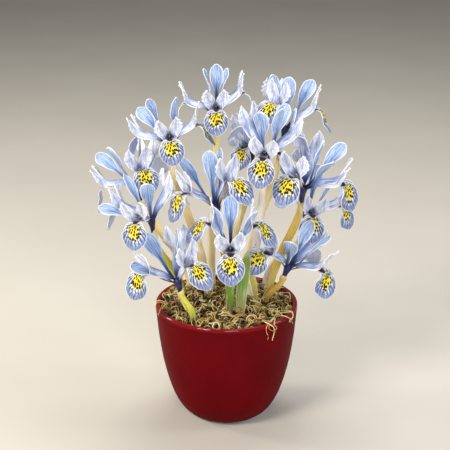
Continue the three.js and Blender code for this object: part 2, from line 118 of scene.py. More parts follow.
class SheathTone(Enum):
    """The colours that a sheath can have: at its foot, in its middle, at its top, and its veins."""

    CREAM = ("#f6eac0", "#f6e6b0", "#f2dc88", "#c4a458")
    OCHRE = ("#e6cc6c", "#d9b84c", "#cfb054", "#94722a")
    BEIGE = ("#fbe9bb", "#fae1a8", "#f4d284", "#b08a4c")
    GOLD = ("#f4de90", "#f2c860", "#ecb854", "#b98638")
    BLUSH = ("#faf4f1", "#f8eee9", "#f2e4bc", "#c4a6a0")
    LIME = ("#b9c04a", "#dcd44a", "#e6d85c", "#8a9934")
    GREEN = ("#6f6430", "#7fa63c", "#5f9434", "#3f6a28")
    LEAF = ("#c9bb80", "#70993f", "#98923e", "#4f7a34")
    AMBER = ("#8f5f38", "#dcae46", "#ecc85a", "#a0702e")
    STRAW = ("#b5b05a", "#dfd06a", "#e8d878", "#a08f3a")


@dataclass(frozen=True)
class BloomPlan:
    """Where one plant and its bloom stand, as in the solids.

    The hub is the top of the bloom's tube, and the root is where its stem comes out of the moss. A fall is
    its azimuth and lift, with a style arm above it, and a standard is its azimuth and its angle above the
    horizontal. Azimuth 0 is the front of the pot and 90 its right-hand side. A third number is how far the
    petal twists by its tip. A leaf is the way it stands from its stem, its height above the moss and the way
    its face turns. The frill is how ragged the crests of its style arms are.
    """

    name: str
    hub: tuple[float, float, float]
    root: tuple[float, float]
    lean: tuple[float, float]
    tone: SheathTone
    falls: Rows
    standards: Rows
    size: float = 1
    tube: float = 12
    frill: float = 0.6
    leaf: tuple[float, float, float] | None = None
    leaf_tone: SheathTone = SheathTone.LEAF

    def leaned(self, vectors: Array) -> Array:
        """Vectors of the upright bloom, as it leans."""
        azimuth, degrees = self.lean
        return turned(vectors, np.cross(UP, heading(azimuth)), degrees)


BLOOM_PLANS = (
    BloomPlan(
        "top", (-8, 30, 243.5), (-12, 32), (0, 0), SheathTone.CREAM, size=0.88, frill=0.8,
        falls=((0, 0), (100, 22), (-92, -4)), standards=((178, 84), (62, 80, 60), (-62, 78, -40)),
    ),
    BloomPlan(
        "top_right", (47, 42, 228), (16, 33), (90, 8), SheathTone.CREAM, frill=1.15,
        falls=((-40, 38), (84, 26), (205, 12)), standards=((122, 68, 35), (-105, 72, -40), (-30, 86)),
    ),
    BloomPlan(
        "upper_left", (-44.5, 14, 223.5), (-16, 14), (-90, 8), SheathTone.BEIGE, tube=20, frill=0.8,
        falls=((6, 2), (88, 8), (-104, -6)), standards=((-80, 78, -60), (58, 76), (-135, 44, -45)), size=0.9,
    ),
    BloomPlan(
        "far_left", (-71, 30, 183), (-29, 27), (-90, 12), SheathTone.BEIGE, size=0.96,
        falls=((22, 26), (150, 14), (-92, -14)), standards=((-60, 70), (80, 80), (-116, 46, -45)),
    ),
    BloomPlan(
        "lower_left", (-58.5, -17, 170), (-36, 12), (-90, 8), SheathTone.LIME, size=0.93,
        falls=((-20, -2), (122, 28), (-102, 10)), standards=((-78, 30, -45), (10, 66), (-125, 66)),
    ),
    BloomPlan(
        "centre", (-8, -8, 179), (2, 8), (-90, 6), SheathTone.GOLD, size=1.05,
        falls=((48, 38), (163, -2), (-60, 16)), standards=((-20, 92), (110, 84), (-122, 56)),
    ),
    BloomPlan(
        "centre_right", (30.5, -4, 218.5), (19, 9), (30, 6), SheathTone.BLUSH, size=0.97,
        falls=((-8, -4), (106, 18), (-125, 30)), standards=((130, 70, 30), (54, 80), (-30, 74)),
    ),
    BloomPlan(
        "back", (21, 42, 208), (1, 41), (0, 4), SheathTone.CREAM, size=0.8, frill=1.0,
        falls=((-22, 10), (66, -20), (-152, 8)), standards=((20, 94), (168, 72), (-90, 74)),
    ),
    BloomPlan(
        "right", (60, -2, 192), (35, 19), (20, 12), SheathTone.OCHRE, size=1.04,
        falls=((-30, 26), (78, -4, 40), (176, 22)), standards=((118, 48, 30), (36, 56), (64, 80)),
    ),
    BloomPlan(
        "lower_right", (66, 44, 153), (33, 33), (90, 8), SheathTone.BLUSH, size=0.97,
        falls=((4, -2), (90, 6, 55), (-150, 4)), standards=((58, 66), (160, 76), (-60, 76)),
    ),
    BloomPlan(
        "front", (3, -34, 151), (2, -24), (0, 4), SheathTone.GREEN, frill=0.3, leaf=(94, 52, 0),
        falls=((0, 0), (84, 38, 25), (-86, 44, -25)), standards=((178, 86), (58, 64), (-56, 74)),
    ),
    BloomPlan(
        "front_left", (-38, -38, 128), (-26, -33), (-60, 16), SheathTone.LIME, frill=0.35,
        falls=((46, 26), (166, 14), (-66, 24, -45)), standards=((-58, 48, -50), (-138, 60, -20), (100, 80)),
    ),
    BloomPlan(
        "front_right", (49, 0, 124), (32, 0), (90, 22), SheathTone.AMBER, size=0.98,
        falls=((-58, 0, -40), (65, 4, 55), (145, 22)), standards=((-22, 48), (78, 66, 20), (140, 88)),
        leaf=(-90, 26, 60), leaf_tone=SheathTone.STRAW,
    ),
)


# Small sums that the pieces share


def vary(a: float, b: float, c: float) -> float:
    """A repeatable number from -1 to 1, the same as in the solids."""
    wave = math.sin(12.9898 * a + 78.233 * b + 37.719 * c) * 4758.5453
    return 2 * (wave - math.floor(wave)) - 1


def mix(a: float | Array, b: float | Array, share: float | Array) -> float | Array:
    """The value that share of the way from a to b."""
    return a + (b - a) * share


def smooth(low: float, high: float, x: float | Array) -> Array:
    """A rise from 0 at low to 1 at high, level at both ends."""
    t = np.clip((x - low) / (high - low), 0, 1)
    return t * t * (3 - 2 * t)


def heading(azimuth: float) -> Array:
    """The horizontal direction of an azimuth in degrees."""
    turn = math.radians(azimuth)
    return np.array([math.sin(turn), -math.cos(turn), 0.0])


def turned(vectors: Array, axis: Array, degrees: float) -> Array:
    """Vectors turned round an axis of length 1."""
    turn, along = math.radians(degrees), (vectors @ axis)[..., None] * axis
    return vectors * math.cos(turn) + np.cross(axis, vectors) * math.sin(turn) + along * (1 - math.cos(turn))


def through(rows: Sequence[Sequence[float]], count: int, rounded: bool = False) -> Array:
    """Rows evenly spaced along a smooth curve through a few rows.

    Args:
        rows: The rows. The first two columns are the curve's own plane, and the others follow along.
        count: How many rows to give back.
        rounded: Whether the curve crosses the axis square at its last row, so that a tip is round.

    Returns:
        The rows, one to a line.
    """
    given = np.array(rows, float)
    before = 2 * given[0] - given[1]
    after = 2 * given[-1] - given[-2]
    if rounded:
        after = given[-2].copy()
        after[1] *= -1
    points = np.vstack([before, given, after])
    steps = np.linalg.norm(np.diff(points[:, :2], axis=0), axis=1)
    place = np.concatenate([[0], np.cumsum(steps)])
    slopes = (points[2:] - points[:-2]) / (place[2:] - place[:-2])[:, None]
    fine = []
    for i, width in enumerate(steps[1:-1]):
        t = np.linspace(0, 1, 24, endpoint=i == len(given) - 2)[:, None]
        fine.append(
            (2 * t**3 - 3 * t**2 + 1) * given[i]
            + (t**3 - 2 * t**2 + t) * slopes[i] * width
            + (3 * t**2 - 2 * t**3) * given[i + 1]
            + (t**3 - t**2) * slopes[i + 1] * width
        )
    curve = np.vstack(fine)
    walked = np.concatenate([[0], np.cumsum(np.linalg.norm(np.diff(curve[:, :2], axis=0), axis=1))])
    wanted = np.linspace(0, walked[-1], count)
    return np.stack([np.interp(wanted, walked, column) for column in curve.T], axis=1)


def read(rows: Array, along: Array) -> list[Array]:
    """The columns of evenly spaced rows, read at places from 0 to 1 along them."""
    return [np.interp(along, np.linspace(0, 1, len(rows)), column) for column in rows.T]


def places(cells: Cells) -> tuple[Array, Array]:
    """The places across, from -1 to 1, and along, from 0 to 1, of a sheet's points in their order."""
    along, across = np.divmod(np.arange((cells[0] + 1) * (cells[1] + 1)), cells[0] + 1)
    return across / cells[0] * 2 - 1, along / cells[1]


def colour(code: str) -> tuple[float, float, float, float]:
    """A colour written as on a paint card, as the shader's own linear numbers."""
    parts = [int(code[i : i + 2], 16) / 255 for i in (1, 3, 5)]
    return (*(p / 12.92 if p <= 0.04045 else ((p + 0.055) / 1.055) ** 2.4 for p in parts), 1.0)


# Workshop methods on meshes


def pick(*pieces: Piece) -> None:
    """Selects pieces alone.

    Args:
        pieces: The pieces, the last of which becomes the active one.
    """
    bpy.ops.object.select_all(action="DESELECT")
    for piece in pieces:
        piece.select_set(True)
    bpy.context.view_layer.objects.active = pieces[-1]


def sheet(name: str, cells: Cells, points: Array) -> Piece:
    """A grid with its points moved onto a surface.

    Args:
        name: The name of the new piece.
        cells: How many faces it has across and along.
        points: Where its points go, in millimetres.

    Returns:
        The piece, with its place in its mesh.
    """
    bpy.ops.object.select_all(action="DESELECT")
    bpy.ops.mesh.primitive_grid_add(x_subdivisions=cells[0], y_subdivisions=cells[1], size=2)
    piece = bpy.context.object
    piece.name = name
    piece.data.vertices.foreach_set("co", (points * MM).astype(np.float32).ravel())
    piece.data.update()
    return piece


def note(piece: Piece, name: str, *columns: Array | float) -> None:
    """Writes three numbers at each point of a piece, for its finish to read."""
    layer = piece.data.attributes.new(name, "FLOAT_VECTOR", "POINT")
    values = np.stack(np.broadcast_arrays(*columns), axis=1)
    layer.data.foreach_set("vector", values.astype(np.float32).ravel())


def finished(piece: Piece, finishes: Sequence[Material], thickness: float = 0) -> Piece:
    """Dresses a sheet, closes its seams and gives it its thickness.

    Args:
        piece: The sheet.
        finishes: Its finish, and a second one for its back where it has one.
        thickness: Its thickness in millimetres, or 0 for a skin that is closed already.

    Returns:
        The same piece.
    """
    for finish in finishes:
        piece.data.materials.append(finish)
    pick(piece)
    bpy.ops.object.mode_set(mode="EDIT")
    bpy.ops.mesh.select_all(action="SELECT")
    bpy.ops.mesh.remove_doubles(threshold=0.004 * MM)
    bpy.ops.object.mode_set(mode="OBJECT")
    if thickness:
        solidify = piece.modifiers.new("thickness", "SOLIDIFY")
        solidify.thickness = thickness * MM
        solidify.offset = 0
        solidify.use_rim = True
        solidify.material_offset = len(finishes) - 1
        bpy.ops.object.modifier_apply(modifier=solidify.name)
    return piece


def joined(name: str, pieces: Sequence[Piece]) -> Piece:
    """Several pieces as one.

    Args:
        name: The name of the whole.
        pieces: The pieces.

    Returns:
        The whole.
    """
    pick(*pieces)
    bpy.ops.object.join()
    whole = bpy.context.object
    whole.name = name
    return whole


def hand_over(piece: Piece, slot: str, *nodes: str, sharp: float = 60) -> None:
    """Smooths a finished piece, rides it on the body, hides the solids that it stands for and says which
    they are.

    Args:
        piece: The piece.
        slot: The slot of the record that it belongs to; not used.
        nodes: The solids that it stands for.
        sharp: The angle in degrees past which an edge stays sharp.
    """
    piece.data.name = piece.name
    pick(piece)
    bpy.ops.object.shade_smooth_by_angle(angle=math.radians(sharp))
    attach(piece, "root")
    if nodes:
        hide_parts(*nodes)
    LOG.info("%s: %d faces for %s", piece.name, len(piece.data.polygons), ", ".join(nodes) or "its own")


# Finishes


class Value:
    """A number, a place or a colour that a node gives, and that changes over the surface."""

    def __init__(self, chart: "Chart", socket: bpy.types.NodeSocket) -> None:
        """Keeps the node's socket with the chart that it is on."""
        self.chart = chart
        self.socket = socket

    def __add__(self, other: "Value | float") -> "Value":
        """The sum of two numbers."""
        return self.chart.math("ADD", self, other)

    def __sub__(self, other: "Value | float") -> "Value":
        """The difference of two numbers."""
        return self.chart.math("SUBTRACT", self, other)

    def __mul__(self, other: "Value | float") -> "Value":
        """The product of two numbers."""
        return self.chart.math("MULTIPLY", self, other)

    def larger(self, other: "Value") -> "Value":
        """The larger of two numbers."""
        return self.chart.math("MAXIMUM", self, other)

    def sine(self) -> "Value":
        """The sine of a number, for lines that repeat."""
        return self.chart.math("SINE", self)

    def size(self) -> "Value":
        """A number without its sign."""
        return self.chart.math("ABSOLUTE", self)

    def split(self) -> list["Value"]:
        """The three numbers of a place."""
        node = self.chart.value("SeparateXYZ", {0: self}).socket.node
        return [Value(self.chart, socket) for socket in node.outputs]

    def step(self, low: float, high: float) -> "Value":
        """A smooth step from 0 at low to 1 at high, or the other way round where low is the larger."""
        inputs = {"Value": self, "From Min": low, "From Max": high}
        return self.chart.value("MapRange", inputs, interpolation_type="SMOOTHSTEP")

    def noise(self, scale: float, detail: float = 2, rough: float = 0.5) -> "Value":
        """A soft noise from about 0.2 to 0.8 at a place."""
        inputs = {"Vector": self, "Scale": scale, "Detail": detail, "Roughness": rough}
        return self.chart.value("TexNoise", inputs)

    def cells(self, scale: float, jitter: float = 1, flat: bool = False) -> "Value":
        """The distance to the middle of the nearest cell of a net, in space or in a plane."""
        inputs = {"Vector": self, "Scale": scale, "Randomness": jitter}
        return self.chart.value("TexVoronoi", inputs, voronoi_dimensions="2D" if flat else "3D")


class Chart:
    """The nodes of one finish, and the colour that they give so far as its body."""

    def __init__(self, name: str) -> None:
        """Starts a finish with its one shader."""
        self.material = bpy.data.materials.new(name)
        self.material.use_nodes = True
        self.tree = self.material.node_tree
        self.shader = self.tree.nodes["Principled BSDF"]
        self.body: Value | None = None

    def put(self, socket: bpy.types.NodeSocket, given: object) -> None:
        """Links a socket to a value, or sets it to a plain number or to a colour's code.

        Args:
            socket: The socket.
            given: What it gets.
        """
        if isinstance(given, Value):
            self.tree.links.new(given.socket, socket)
        else:
            socket.default_value = colour(given) if isinstance(given, str) else given

    def value(self, kind: str, inputs: dict[Key, object], output: Key = 0, **settings: str) -> Value:
        """What a new node gives.

        Args:
            kind: The kind of node.
            inputs: What its inputs get, by their places or names.
            output: The place or name of the output.
            settings: The node's own settings.

        Returns:
            The value.
        """
        node = self.tree.nodes.new("ShaderNode" + kind)
        for name, setting in settings.items():
            setattr(node, name, setting)
        for key, given in inputs.items():
            self.put(node.inputs[key], given)
        return Value(self, node.outputs[output])

    def math(self, operation: str, *numbers: Value | float) -> Value:
        """One sum on one or two numbers."""
        return self.value("Math", dict(enumerate(numbers)), operation=operation)

    def marks(self, name: str) -> list[Value]:
        """The three numbers that a piece's points carry under a name."""
        return self.value("Attribute", {}, "Vector", attribute_name=name).split()

    def petal(self) -> list[Value]:
        """The side, distance and margin of a place on a petal, its shares across and along, and the seed."""
        return self.marks("petal") + self.marks("petal_share")

    def place(self) -> Value:
        """The place on the piece, in metres."""
        return self.value("TexCoord", {}, "Object")

    def vector(self, x: Value | float, y: Value | float, z: Value | float = 0.0) -> Value:
        """A place made of three numbers."""
        return self.value("CombineXYZ", {0: x, 1: y, 2: z})

    def blend(self, share: Value, first: Value | str, second: Value | str) -> Value:
        """A colour that share of the way from the first to the second."""
        return self.value("Mix", {0: share, 6: first, 7: second}, 2, data_type="RGBA")

    def wash(self, tint: Value | str, share: Value) -> None:
        """Lays a colour over the body, as far as its share says."""
        self.body = self.blend(share, self.body, tint)

    def ramp(self, number: Value, *stops: tuple[float, str]) -> Value:
        """A colour read off a row of colours.

        Args:
            number: The number, from 0 to 1, that it is read by.
            stops: The places and codes of the colours.

        Returns:
            The colour.
        """
        row = self.value("ValToRGB", {0: number})
        elements = row.socket.node.color_ramp.elements
        while len(elements) < len(stops):
            elements.new(0.5)
        for element, (position, code) in zip(elements, stops):
            element.position = position
            element.color = colour(code)
        return row

    def relief(self, height: Value, distance: float, strength: float = 1) -> None:
        """Raises the surface by a height, in millimetres at its full strength."""
        inputs = {"Strength": strength, "Distance": distance * MM, "Height": height}
        self.put(self.shader.inputs["Normal"], self.value("Bump", inputs))

    def done(self, roughness: Value | float, glow: float = 0, **others: Value | float) -> Material:
        """Sets the shader's sockets.

        Args:
            roughness: How rough the surface is.
            glow: How much light goes into a petal or a skin and comes out beside.
            others: What other sockets get, by their names in small letters.

        Returns:
            The finished material.
        """
        if glow:
            others |= {"subsurface_weight": glow, "subsurface_radius": (0.7, 0.8, 1.0)}
            others |= {"subsurface_scale": 0.6 * MM}
        for name, given in {"base_color": self.body, "roughness": roughness, **others}.items():
            self.put(self.shader.inputs[name.replace("_", " ").title().replace("Ior", "IOR")], given)
        return self.material


@dataclass(frozen=True)
class GlazeFinish:
    """The deep red glaze of the pot, with a lighter red lip under a thicker clear coat; the lighter red is
    partly the glaze running thinner there and partly a painted highlight.
    """

    deep: str = "#580107"
    lit: str = "#610209"
    # The lip's lighter red: partly thinner glaze, partly a painted highlight along the lip.
    thin: str = "#8e1217"
    lip_from: float = 0.0925
    lip_to: float = 0.0962
    body_coat: float = 0.12

    def make(self) -> Material:
        """Makes the material."""
        chart = Chart("red_glaze")
        place = chart.place()
        lip = place.split()[2].step(self.lip_from, self.lip_to)
        chart.body = chart.blend(place.noise(28, 3).step(0.3, 0.75), self.deep, self.lit)
        # Lighter red on the lip: partly thinner glaze, partly a painted highlight.
        chart.wash(self.thin, lip * 0.6)
        chart.relief(place.noise(90), 0.1, 0.2)
        coat = lip * (1 - self.body_coat) + self.body_coat
        roughness = place.noise(180) * 0.06 + 0.08
        return chart.done(roughness, coat_weight=coat, coat_roughness=0.05, specular_ior_level=0.0)


@dataclass(frozen=True)
class SoilFinish:
    """Dark damp potting compost, in crumbs."""

    dark: str = "#120c07"
    light: str = "#3a2919"

    def make(self) -> Material:
        """Makes the material."""
        chart = Chart("potting_soil")
        place = chart.place()
        crumbs = place.cells(420)
        tone = crumbs * 0.6 + place.noise(160, 4) * 0.6
        chart.body = chart.ramp(tone, (0.2, self.dark), (0.9, self.light))
        chart.relief(crumbs, 0.8)
        return chart.done(roughness=0.95)


@dataclass(frozen=True)
class MatFinish:
    """The depth of the moss under its strands, coloured nearly black as painted shade."""

    dark: str = "#080402"
    mid: str = "#1c1207"
    light: str = "#4a3816"

    def make(self) -> Material:
        """Makes the material."""
        chart = Chart("moss_depth_painted_shade")
        place = chart.place()
        fibres = place.noise(420, 5, 0.7)
        tone = place.noise(120, 3) * 0.5 + fibres * 0.5
        # Painted shade: near-black tones for the gaps between the strands.
        chart.body = chart.ramp(tone, (0.36, self.dark), (0.55, self.mid), (0.75, self.light))
        chart.relief(fibres, 1.2)
        return chart.done(roughness=0.95)


@dataclass(frozen=True)
class StrandFinish:
    """Dry moss strands from straw to olive and brown, each strand with a tone of its own, darkened by
    painted shade the deeper they lie in the tangle.
    """

    brown: str = "#4a2f10"
    olive: str = "#7d742c"
    gold: str = "#c9a655"
    straw: str = "#f0dfa6"
    rust: str = "#b3702a"
    shade: str = "#170c04"

    def make(self) -> Material:
        """Makes the material."""
        chart = Chart("dry_moss")
        tone, along, depth = chart.marks("strand")
        place = chart.place()
        stops = ((0.08, self.brown), (0.33, self.olive), (0.62, self.gold), (0.95, self.straw))
        chart.body = chart.ramp(tone + (place.noise(700) - 0.5) * 0.7, *stops)
        chart.wash(self.rust, place.noise(34).step(0.5, 0.66) * 0.3)
        # Painted shade: strands darken towards the mat, the deeper they lie.
        chart.wash(self.shade, depth.step(0.8, 0.1))
        chart.relief(chart.vector(tone, along * 30).noise(3), 0.15)
        return chart.done(roughness=0.75)


@dataclass(frozen=True)
class SheathFinish:
    """The papery skin of a stem, sheath or leaf: long fine veins, a coloured middle and brown flecks."""

    tone: SheathTone
    flecks: str = "#7d4f24"
    bleached: str = "#f4ecd2"
    edge: str = "#efe3bd"

    def make(self) -> Material:
        """Makes the material."""
        foot, middle, top, veins = self.tone.value
        chart = Chart("sheath_" + self.tone.name.lower())
        around, up, margin = chart.marks("sheath")
        place = chart.place()
        drift = (place.noise(90, 3) - 0.5) * 0.5
        lines = (around * 46 + drift * 4).sine()
        patch = chart.vector(around * 3, up * 2.2, 3.0).noise(2.2, 3)
        chart.body = chart.ramp(up + drift, (0.05, foot), (0.5, middle), (0.95, top))
        chart.wash(veins, lines.step(0.2, 1) * 0.4)
        chart.wash(self.bleached, patch.step(0.55, 0.75) * 0.25)
        chart.wash(self.flecks, place.noise(330).step(0.68, 0.76) * 0.8)
        chart.wash(self.edge, margin.step(0.7, 0.1) * 0.5)
        chart.relief(lines, 0.12, 0.8)
        return chart.done(roughness=0.5, specular_ior_level=0.4, glow=0.15)


@dataclass(frozen=True)
class FallFinish:
    """The upper face of a fall: a yellow signal full of dark dashes, in a white ring with dark lines.

    The signal is a ragged ellipse round signal_at and the veins spread from vein_root. The dark spot at the
    top of the haft is painted shade in the gap under the crest, centred on the last field, and the haft also
    greys towards its end as painted shade; all in millimetres along the petal.
    """

    white: str = "#e8ecf4"
    blue: str = "#7d8ab0"
    deep: str = "#5c6a94"
    pale: str = "#afb9d2"
    indigo: str = "#252d52"
    yellow: str = "#f0d614"
    lemon: str = "#f2ea8a"
    ink: str = "#120d10"
    navy: str = "#1a1d52"
    haft_mid: str = "#b4b2c6"
    # Painted shade under the crest: the grey end of the haft, and the brown and navy of the gap beneath it.
    haft_end_shade: str = "#9196b0"
    throat_shade_tint: str = "#43291c"
    signal_at: float = 37.6
    signal_half_width: float = 4.5
    signal_half_length: float = 5.6
    vein_root: float = 28.5
    painted_throat_shade_at: float = 27.6

    def make(self) -> Material:
        """Makes the material."""
        chart = Chart("fall_face")
        side, along, margin, across, _, seed = chart.petal()
        own = seed * 40
        wobble = chart.vector(side * 0.25, along * 0.25, own).noise(1, 3) - 0.5
        down = along - self.vein_root
        angle = chart.math("ARCTAN2", side, down)
        radius = chart.math("SQRT", side * side + down * down)
        broad = (angle * 40 + wobble * 6).sine()
        fine = (angle * 66 + wobble * 14 + own).sine()
        x = side * (1 / self.signal_half_width)
        y = (along - self.signal_at) * (1 / self.signal_half_length)
        reach = chart.math("SQRT", x * x + y * y) + wobble * 1.2 + broad * 0.2
        vein = broad.step(0.0, 0.7) * radius.step(3, 5) * radius.step(26, 13)
        dash = chart.vector(angle * 5.4 + own, radius * 0.31).cells(1, 0.8, flat=True).step(0.42, 0.35)
        # The haft greys towards its end as painted shade under the crest.
        haft = chart.ramp(along * (1 / 30), (0.1, self.navy), (0.5, self.haft_mid), (0.95, self.haft_end_shade))
        haft = chart.blend((across * 16).sine().step(0.2, 0.9) * 0.5, haft, self.navy)
        hollow = along - self.painted_throat_shade_at
        painted_throat_shade = side * side * 0.13 + hollow * hollow * 0.07
        chart.body = chart.blend(wobble.step(-0.15, 0.25), self.blue, self.deep)
        chart.wash(self.pale, fine.step(0.0, 0.9) * 0.55)
        chart.wash(self.white, reach.step(1.95, 1.15).larger(down.step(10, 6)) * 0.9)
        chart.wash(self.indigo, vein * 0.82)
        chart.wash(self.lemon, reach.step(1.5, 1.05) * 0.6)
        chart.wash(self.yellow, reach.step(1.0, 0.9))
        chart.wash(self.ink, dash * reach.step(1.6, 1.3))
        chart.wash(self.white, margin.step(0.7, 0.2) * 0.8)
        chart.wash(haft, along.step(29.4, 28.0))
        # Painted shade in the gap under the crest: dark brown in the middle, navy to the sides.
        chart.wash(chart.blend((side * side).step(5, 1), self.navy, self.throat_shade_tint), painted_throat_shade.step(1.15, 0.75))
        chart.relief(fine + broad * 0.6, 0.12, 0.6)
        return chart.done(roughness=0.55, specular_ior_level=0.3, glow=0.2)


@dataclass(frozen=True)
class FallBackFinish:
    """The under face of a fall: pale blue with faint veins, and a rosy white haft with brown specks."""

    pale: str = "#cbd3ea"
    vein: str = "#8895c2"
    haft: str = "#ddd0cc"
    speck: str = "#6c4634"
    edge: str = "#f6f7fd"
    foot: str = "#1f2458"

    def make(self) -> Material:
        """Makes the material."""
        chart = Chart("fall_back")
        side, along, margin, across, _, seed = chart.petal()
        drift = chart.vector(side * 0.3, along * 0.1, seed).noise(1.5, 3)
        lines = (across * 30 + drift * 8).sine()
        specks = chart.vector(side + seed * 40, along * 0.8).cells(1, flat=True).step(0.3, 0.2)
        chart.body = chart.blend(lines.step(0.1, 0.9) * 0.5, self.pale, self.vein)
        chart.wash(chart.blend(specks * 0.85, self.haft, self.speck), along.step(33, 27))
        chart.wash(self.edge, margin.step(0.7, 0.2) * 0.6)
        chart.wash(self.foot, along.step(12, 3))
        chart.relief(lines, 0.1, 0.5)
        return chart.done(roughness=0.6, specular_ior_level=0.3, glow=0.2)


@dataclass(frozen=True)
class StandardFinish:
    """A standard: sky blue in soft streaks, with fine veins, a pale edge and a deep blue foot."""

    edge: str = "#e9f0fa"
    light: str = "#a9c0e2"
    mid: str = "#658abf"
    vein: str = "#315596"
    base: str = "#37598f"
    foot: str = "#131f50"

    def make(self) -> Material:
        """Makes the material."""
        chart = Chart("standard")
        side, along, margin, across, share, seed = chart.petal()
        own = seed * 40
        drift = chart.vector(side * 0.25, along * 0.12, own).noise(1, 3) - 0.5
        streak = chart.vector(side * 1.1, along * 0.11, own).noise(1, 3)
        lines = (across * 24 + drift * 12 + own).sine()
        fine = (across * 52 + drift * 18).sine()
        chart.body = chart.ramp(share + drift, (0.3, self.mid), (0.85, self.light))
        chart.wash(self.edge, streak.step(0.5, 0.68) * 0.55)
        chart.wash(self.vein, streak.step(0.46, 0.3) * 0.5)
        chart.wash(self.vein, lines.step(0.35, 0.95) * 0.55)
        chart.wash(self.edge, fine.step(0.4, 1) * 0.35)
        chart.wash(self.vein, side.size().step(0.9, 0.1) * share.step(1.0, 0.5) * 0.65)
        chart.wash(self.edge, margin.step(1.1, 0.2) * along.step(12, 22) * 0.9)
        chart.wash(self.base, along.step(27, 13) * 0.75)
        chart.wash(self.foot, along.step(17, 3))
        chart.relief(lines + fine * 0.5, 0.14, 0.6)
        return chart.done(roughness=0.55, specular_ior_level=0.3, glow=0.2)


@dataclass(frozen=True)
class StyleFinish:
    """A style arm: white with a blue band down its ridge, and nearly white lobes of the crest."""

    white: str = "#f1f3f9"
    shade: str = "#cbd6ea"
    band: str = "#4568a6"
    mauve: str = "#ada2b8"
    edge: str = "#f4f6fc"
    foot: str = "#131f50"
    fleck: str = "#6a4a44"

    def make(self) -> Material:
        """Makes the material."""
        chart = Chart("style_arm")
        side, along, margin, across, _, seed = chart.petal()
        own = seed * 40
        drift = chart.vector(side * 0.5, along * 0.14, own).noise(1, 3) - 0.5
        streak = chart.vector(side * 0.9, along * 0.08, own).noise(1, 3)
        spots = chart.vector(side * 1.2, along * 0.9, own).noise(1, 1)
        low = side.size().step(2.5, 5.5) * along.step(31, 24) * 0.5
        ridge = (side.size() + drift * 6).step(4, 0.2) * 0.85
        lobe = across.size().step(0.4, 0.02) * along.step(27, 33)
        lines = (across * 24 + drift * 12 + own).sine()
        chart.body = chart.blend(drift.step(-0.1, 0.25), self.white, self.shade)
        chart.wash(self.mauve, low.larger(streak.step(0.48, 0.36) * 0.6))
        chart.wash(self.band, ridge.larger(streak.step(0.5, 0.62) * 0.7) * along.step(36, 24))
        chart.wash(self.band, lobe * 0.4)
        chart.wash(self.band, lines.step(0.4, 1) * 0.26)
        chart.wash(self.edge, margin.step(0.6, 0.15) * 0.8)
        chart.wash(self.fleck, spots.step(0.71, 0.77) * 0.6)
        chart.wash(self.band, along.step(20, 9) * 0.6)
        chart.wash(self.foot, along.step(12, 3))
        chart.relief(lines, 0.1, 0.5)
        return chart.done(roughness=0.55, specular_ior_level=0.3, glow=0.2)


@dataclass(frozen=True)
class TubeFinish:
    """The dark violet tube of a bloom."""

    dark: str = "#11112f"
    light: str = "#2b2c6b"

    def make(self) -> Material:
        """Makes the material."""
        chart = Chart("bloom_tube")
        cloud = chart.place().noise(240, 3)
        chart.body = chart.blend(cloud.step(0.4, 0.7), self.dark, self.light)
        chart.relief(cloud, 0.15, 0.5)
        return chart.done(roughness=0.45)


@dataclass(frozen=True)
class StamenFinish:
    """A stamen: a pale stalk under a style arm, with its anther dusted with cream pollen."""

    stalk: str = "#c9c6e2"
    pollen: str = "#efe2b0"

    def make(self) -> Material:
        """Makes the material."""
        chart = Chart("stamen")
        _, along, _ = chart.marks("petal")
        grain = chart.place().noise(2500)
        chart.body = chart.blend(along.step(12, 15) * grain.step(0.3, 0.5), self.stalk, self.pollen)
        chart.relief(grain, 0.1)
        return chart.done(roughness=0.8)


@dataclass(frozen=True)
class BulbFinish:
    """The brown netted coat of the bulb, from which this kind of iris has its name."""

    fibre: str = "#8a6236"
    skin: str = "#cdb58a"

    def make(self) -> Material:
        """Makes the material."""
        chart = Chart("netted_coat")
        net = chart.place().cells(700)
        chart.body = chart.blend(net.step(0.35, 0.6), self.skin, self.fibre)
        chart.relief(net, 0.3)
        return chart.done(roughness=0.85)


@dataclass(frozen=True)
class FloorFinish:
    """A plain pale warm grey floor."""

    pale: str = "#c6c0b4"
    shade: str = "#b9b3a6"

    def make(self) -> Material:
        """Makes the material."""
        chart = Chart("pale_floor")
        chart.body = chart.blend(chart.place().noise(6, 4), self.pale, self.shade)
        return chart.done(roughness=0.8)


# The pot, the soil and the moss


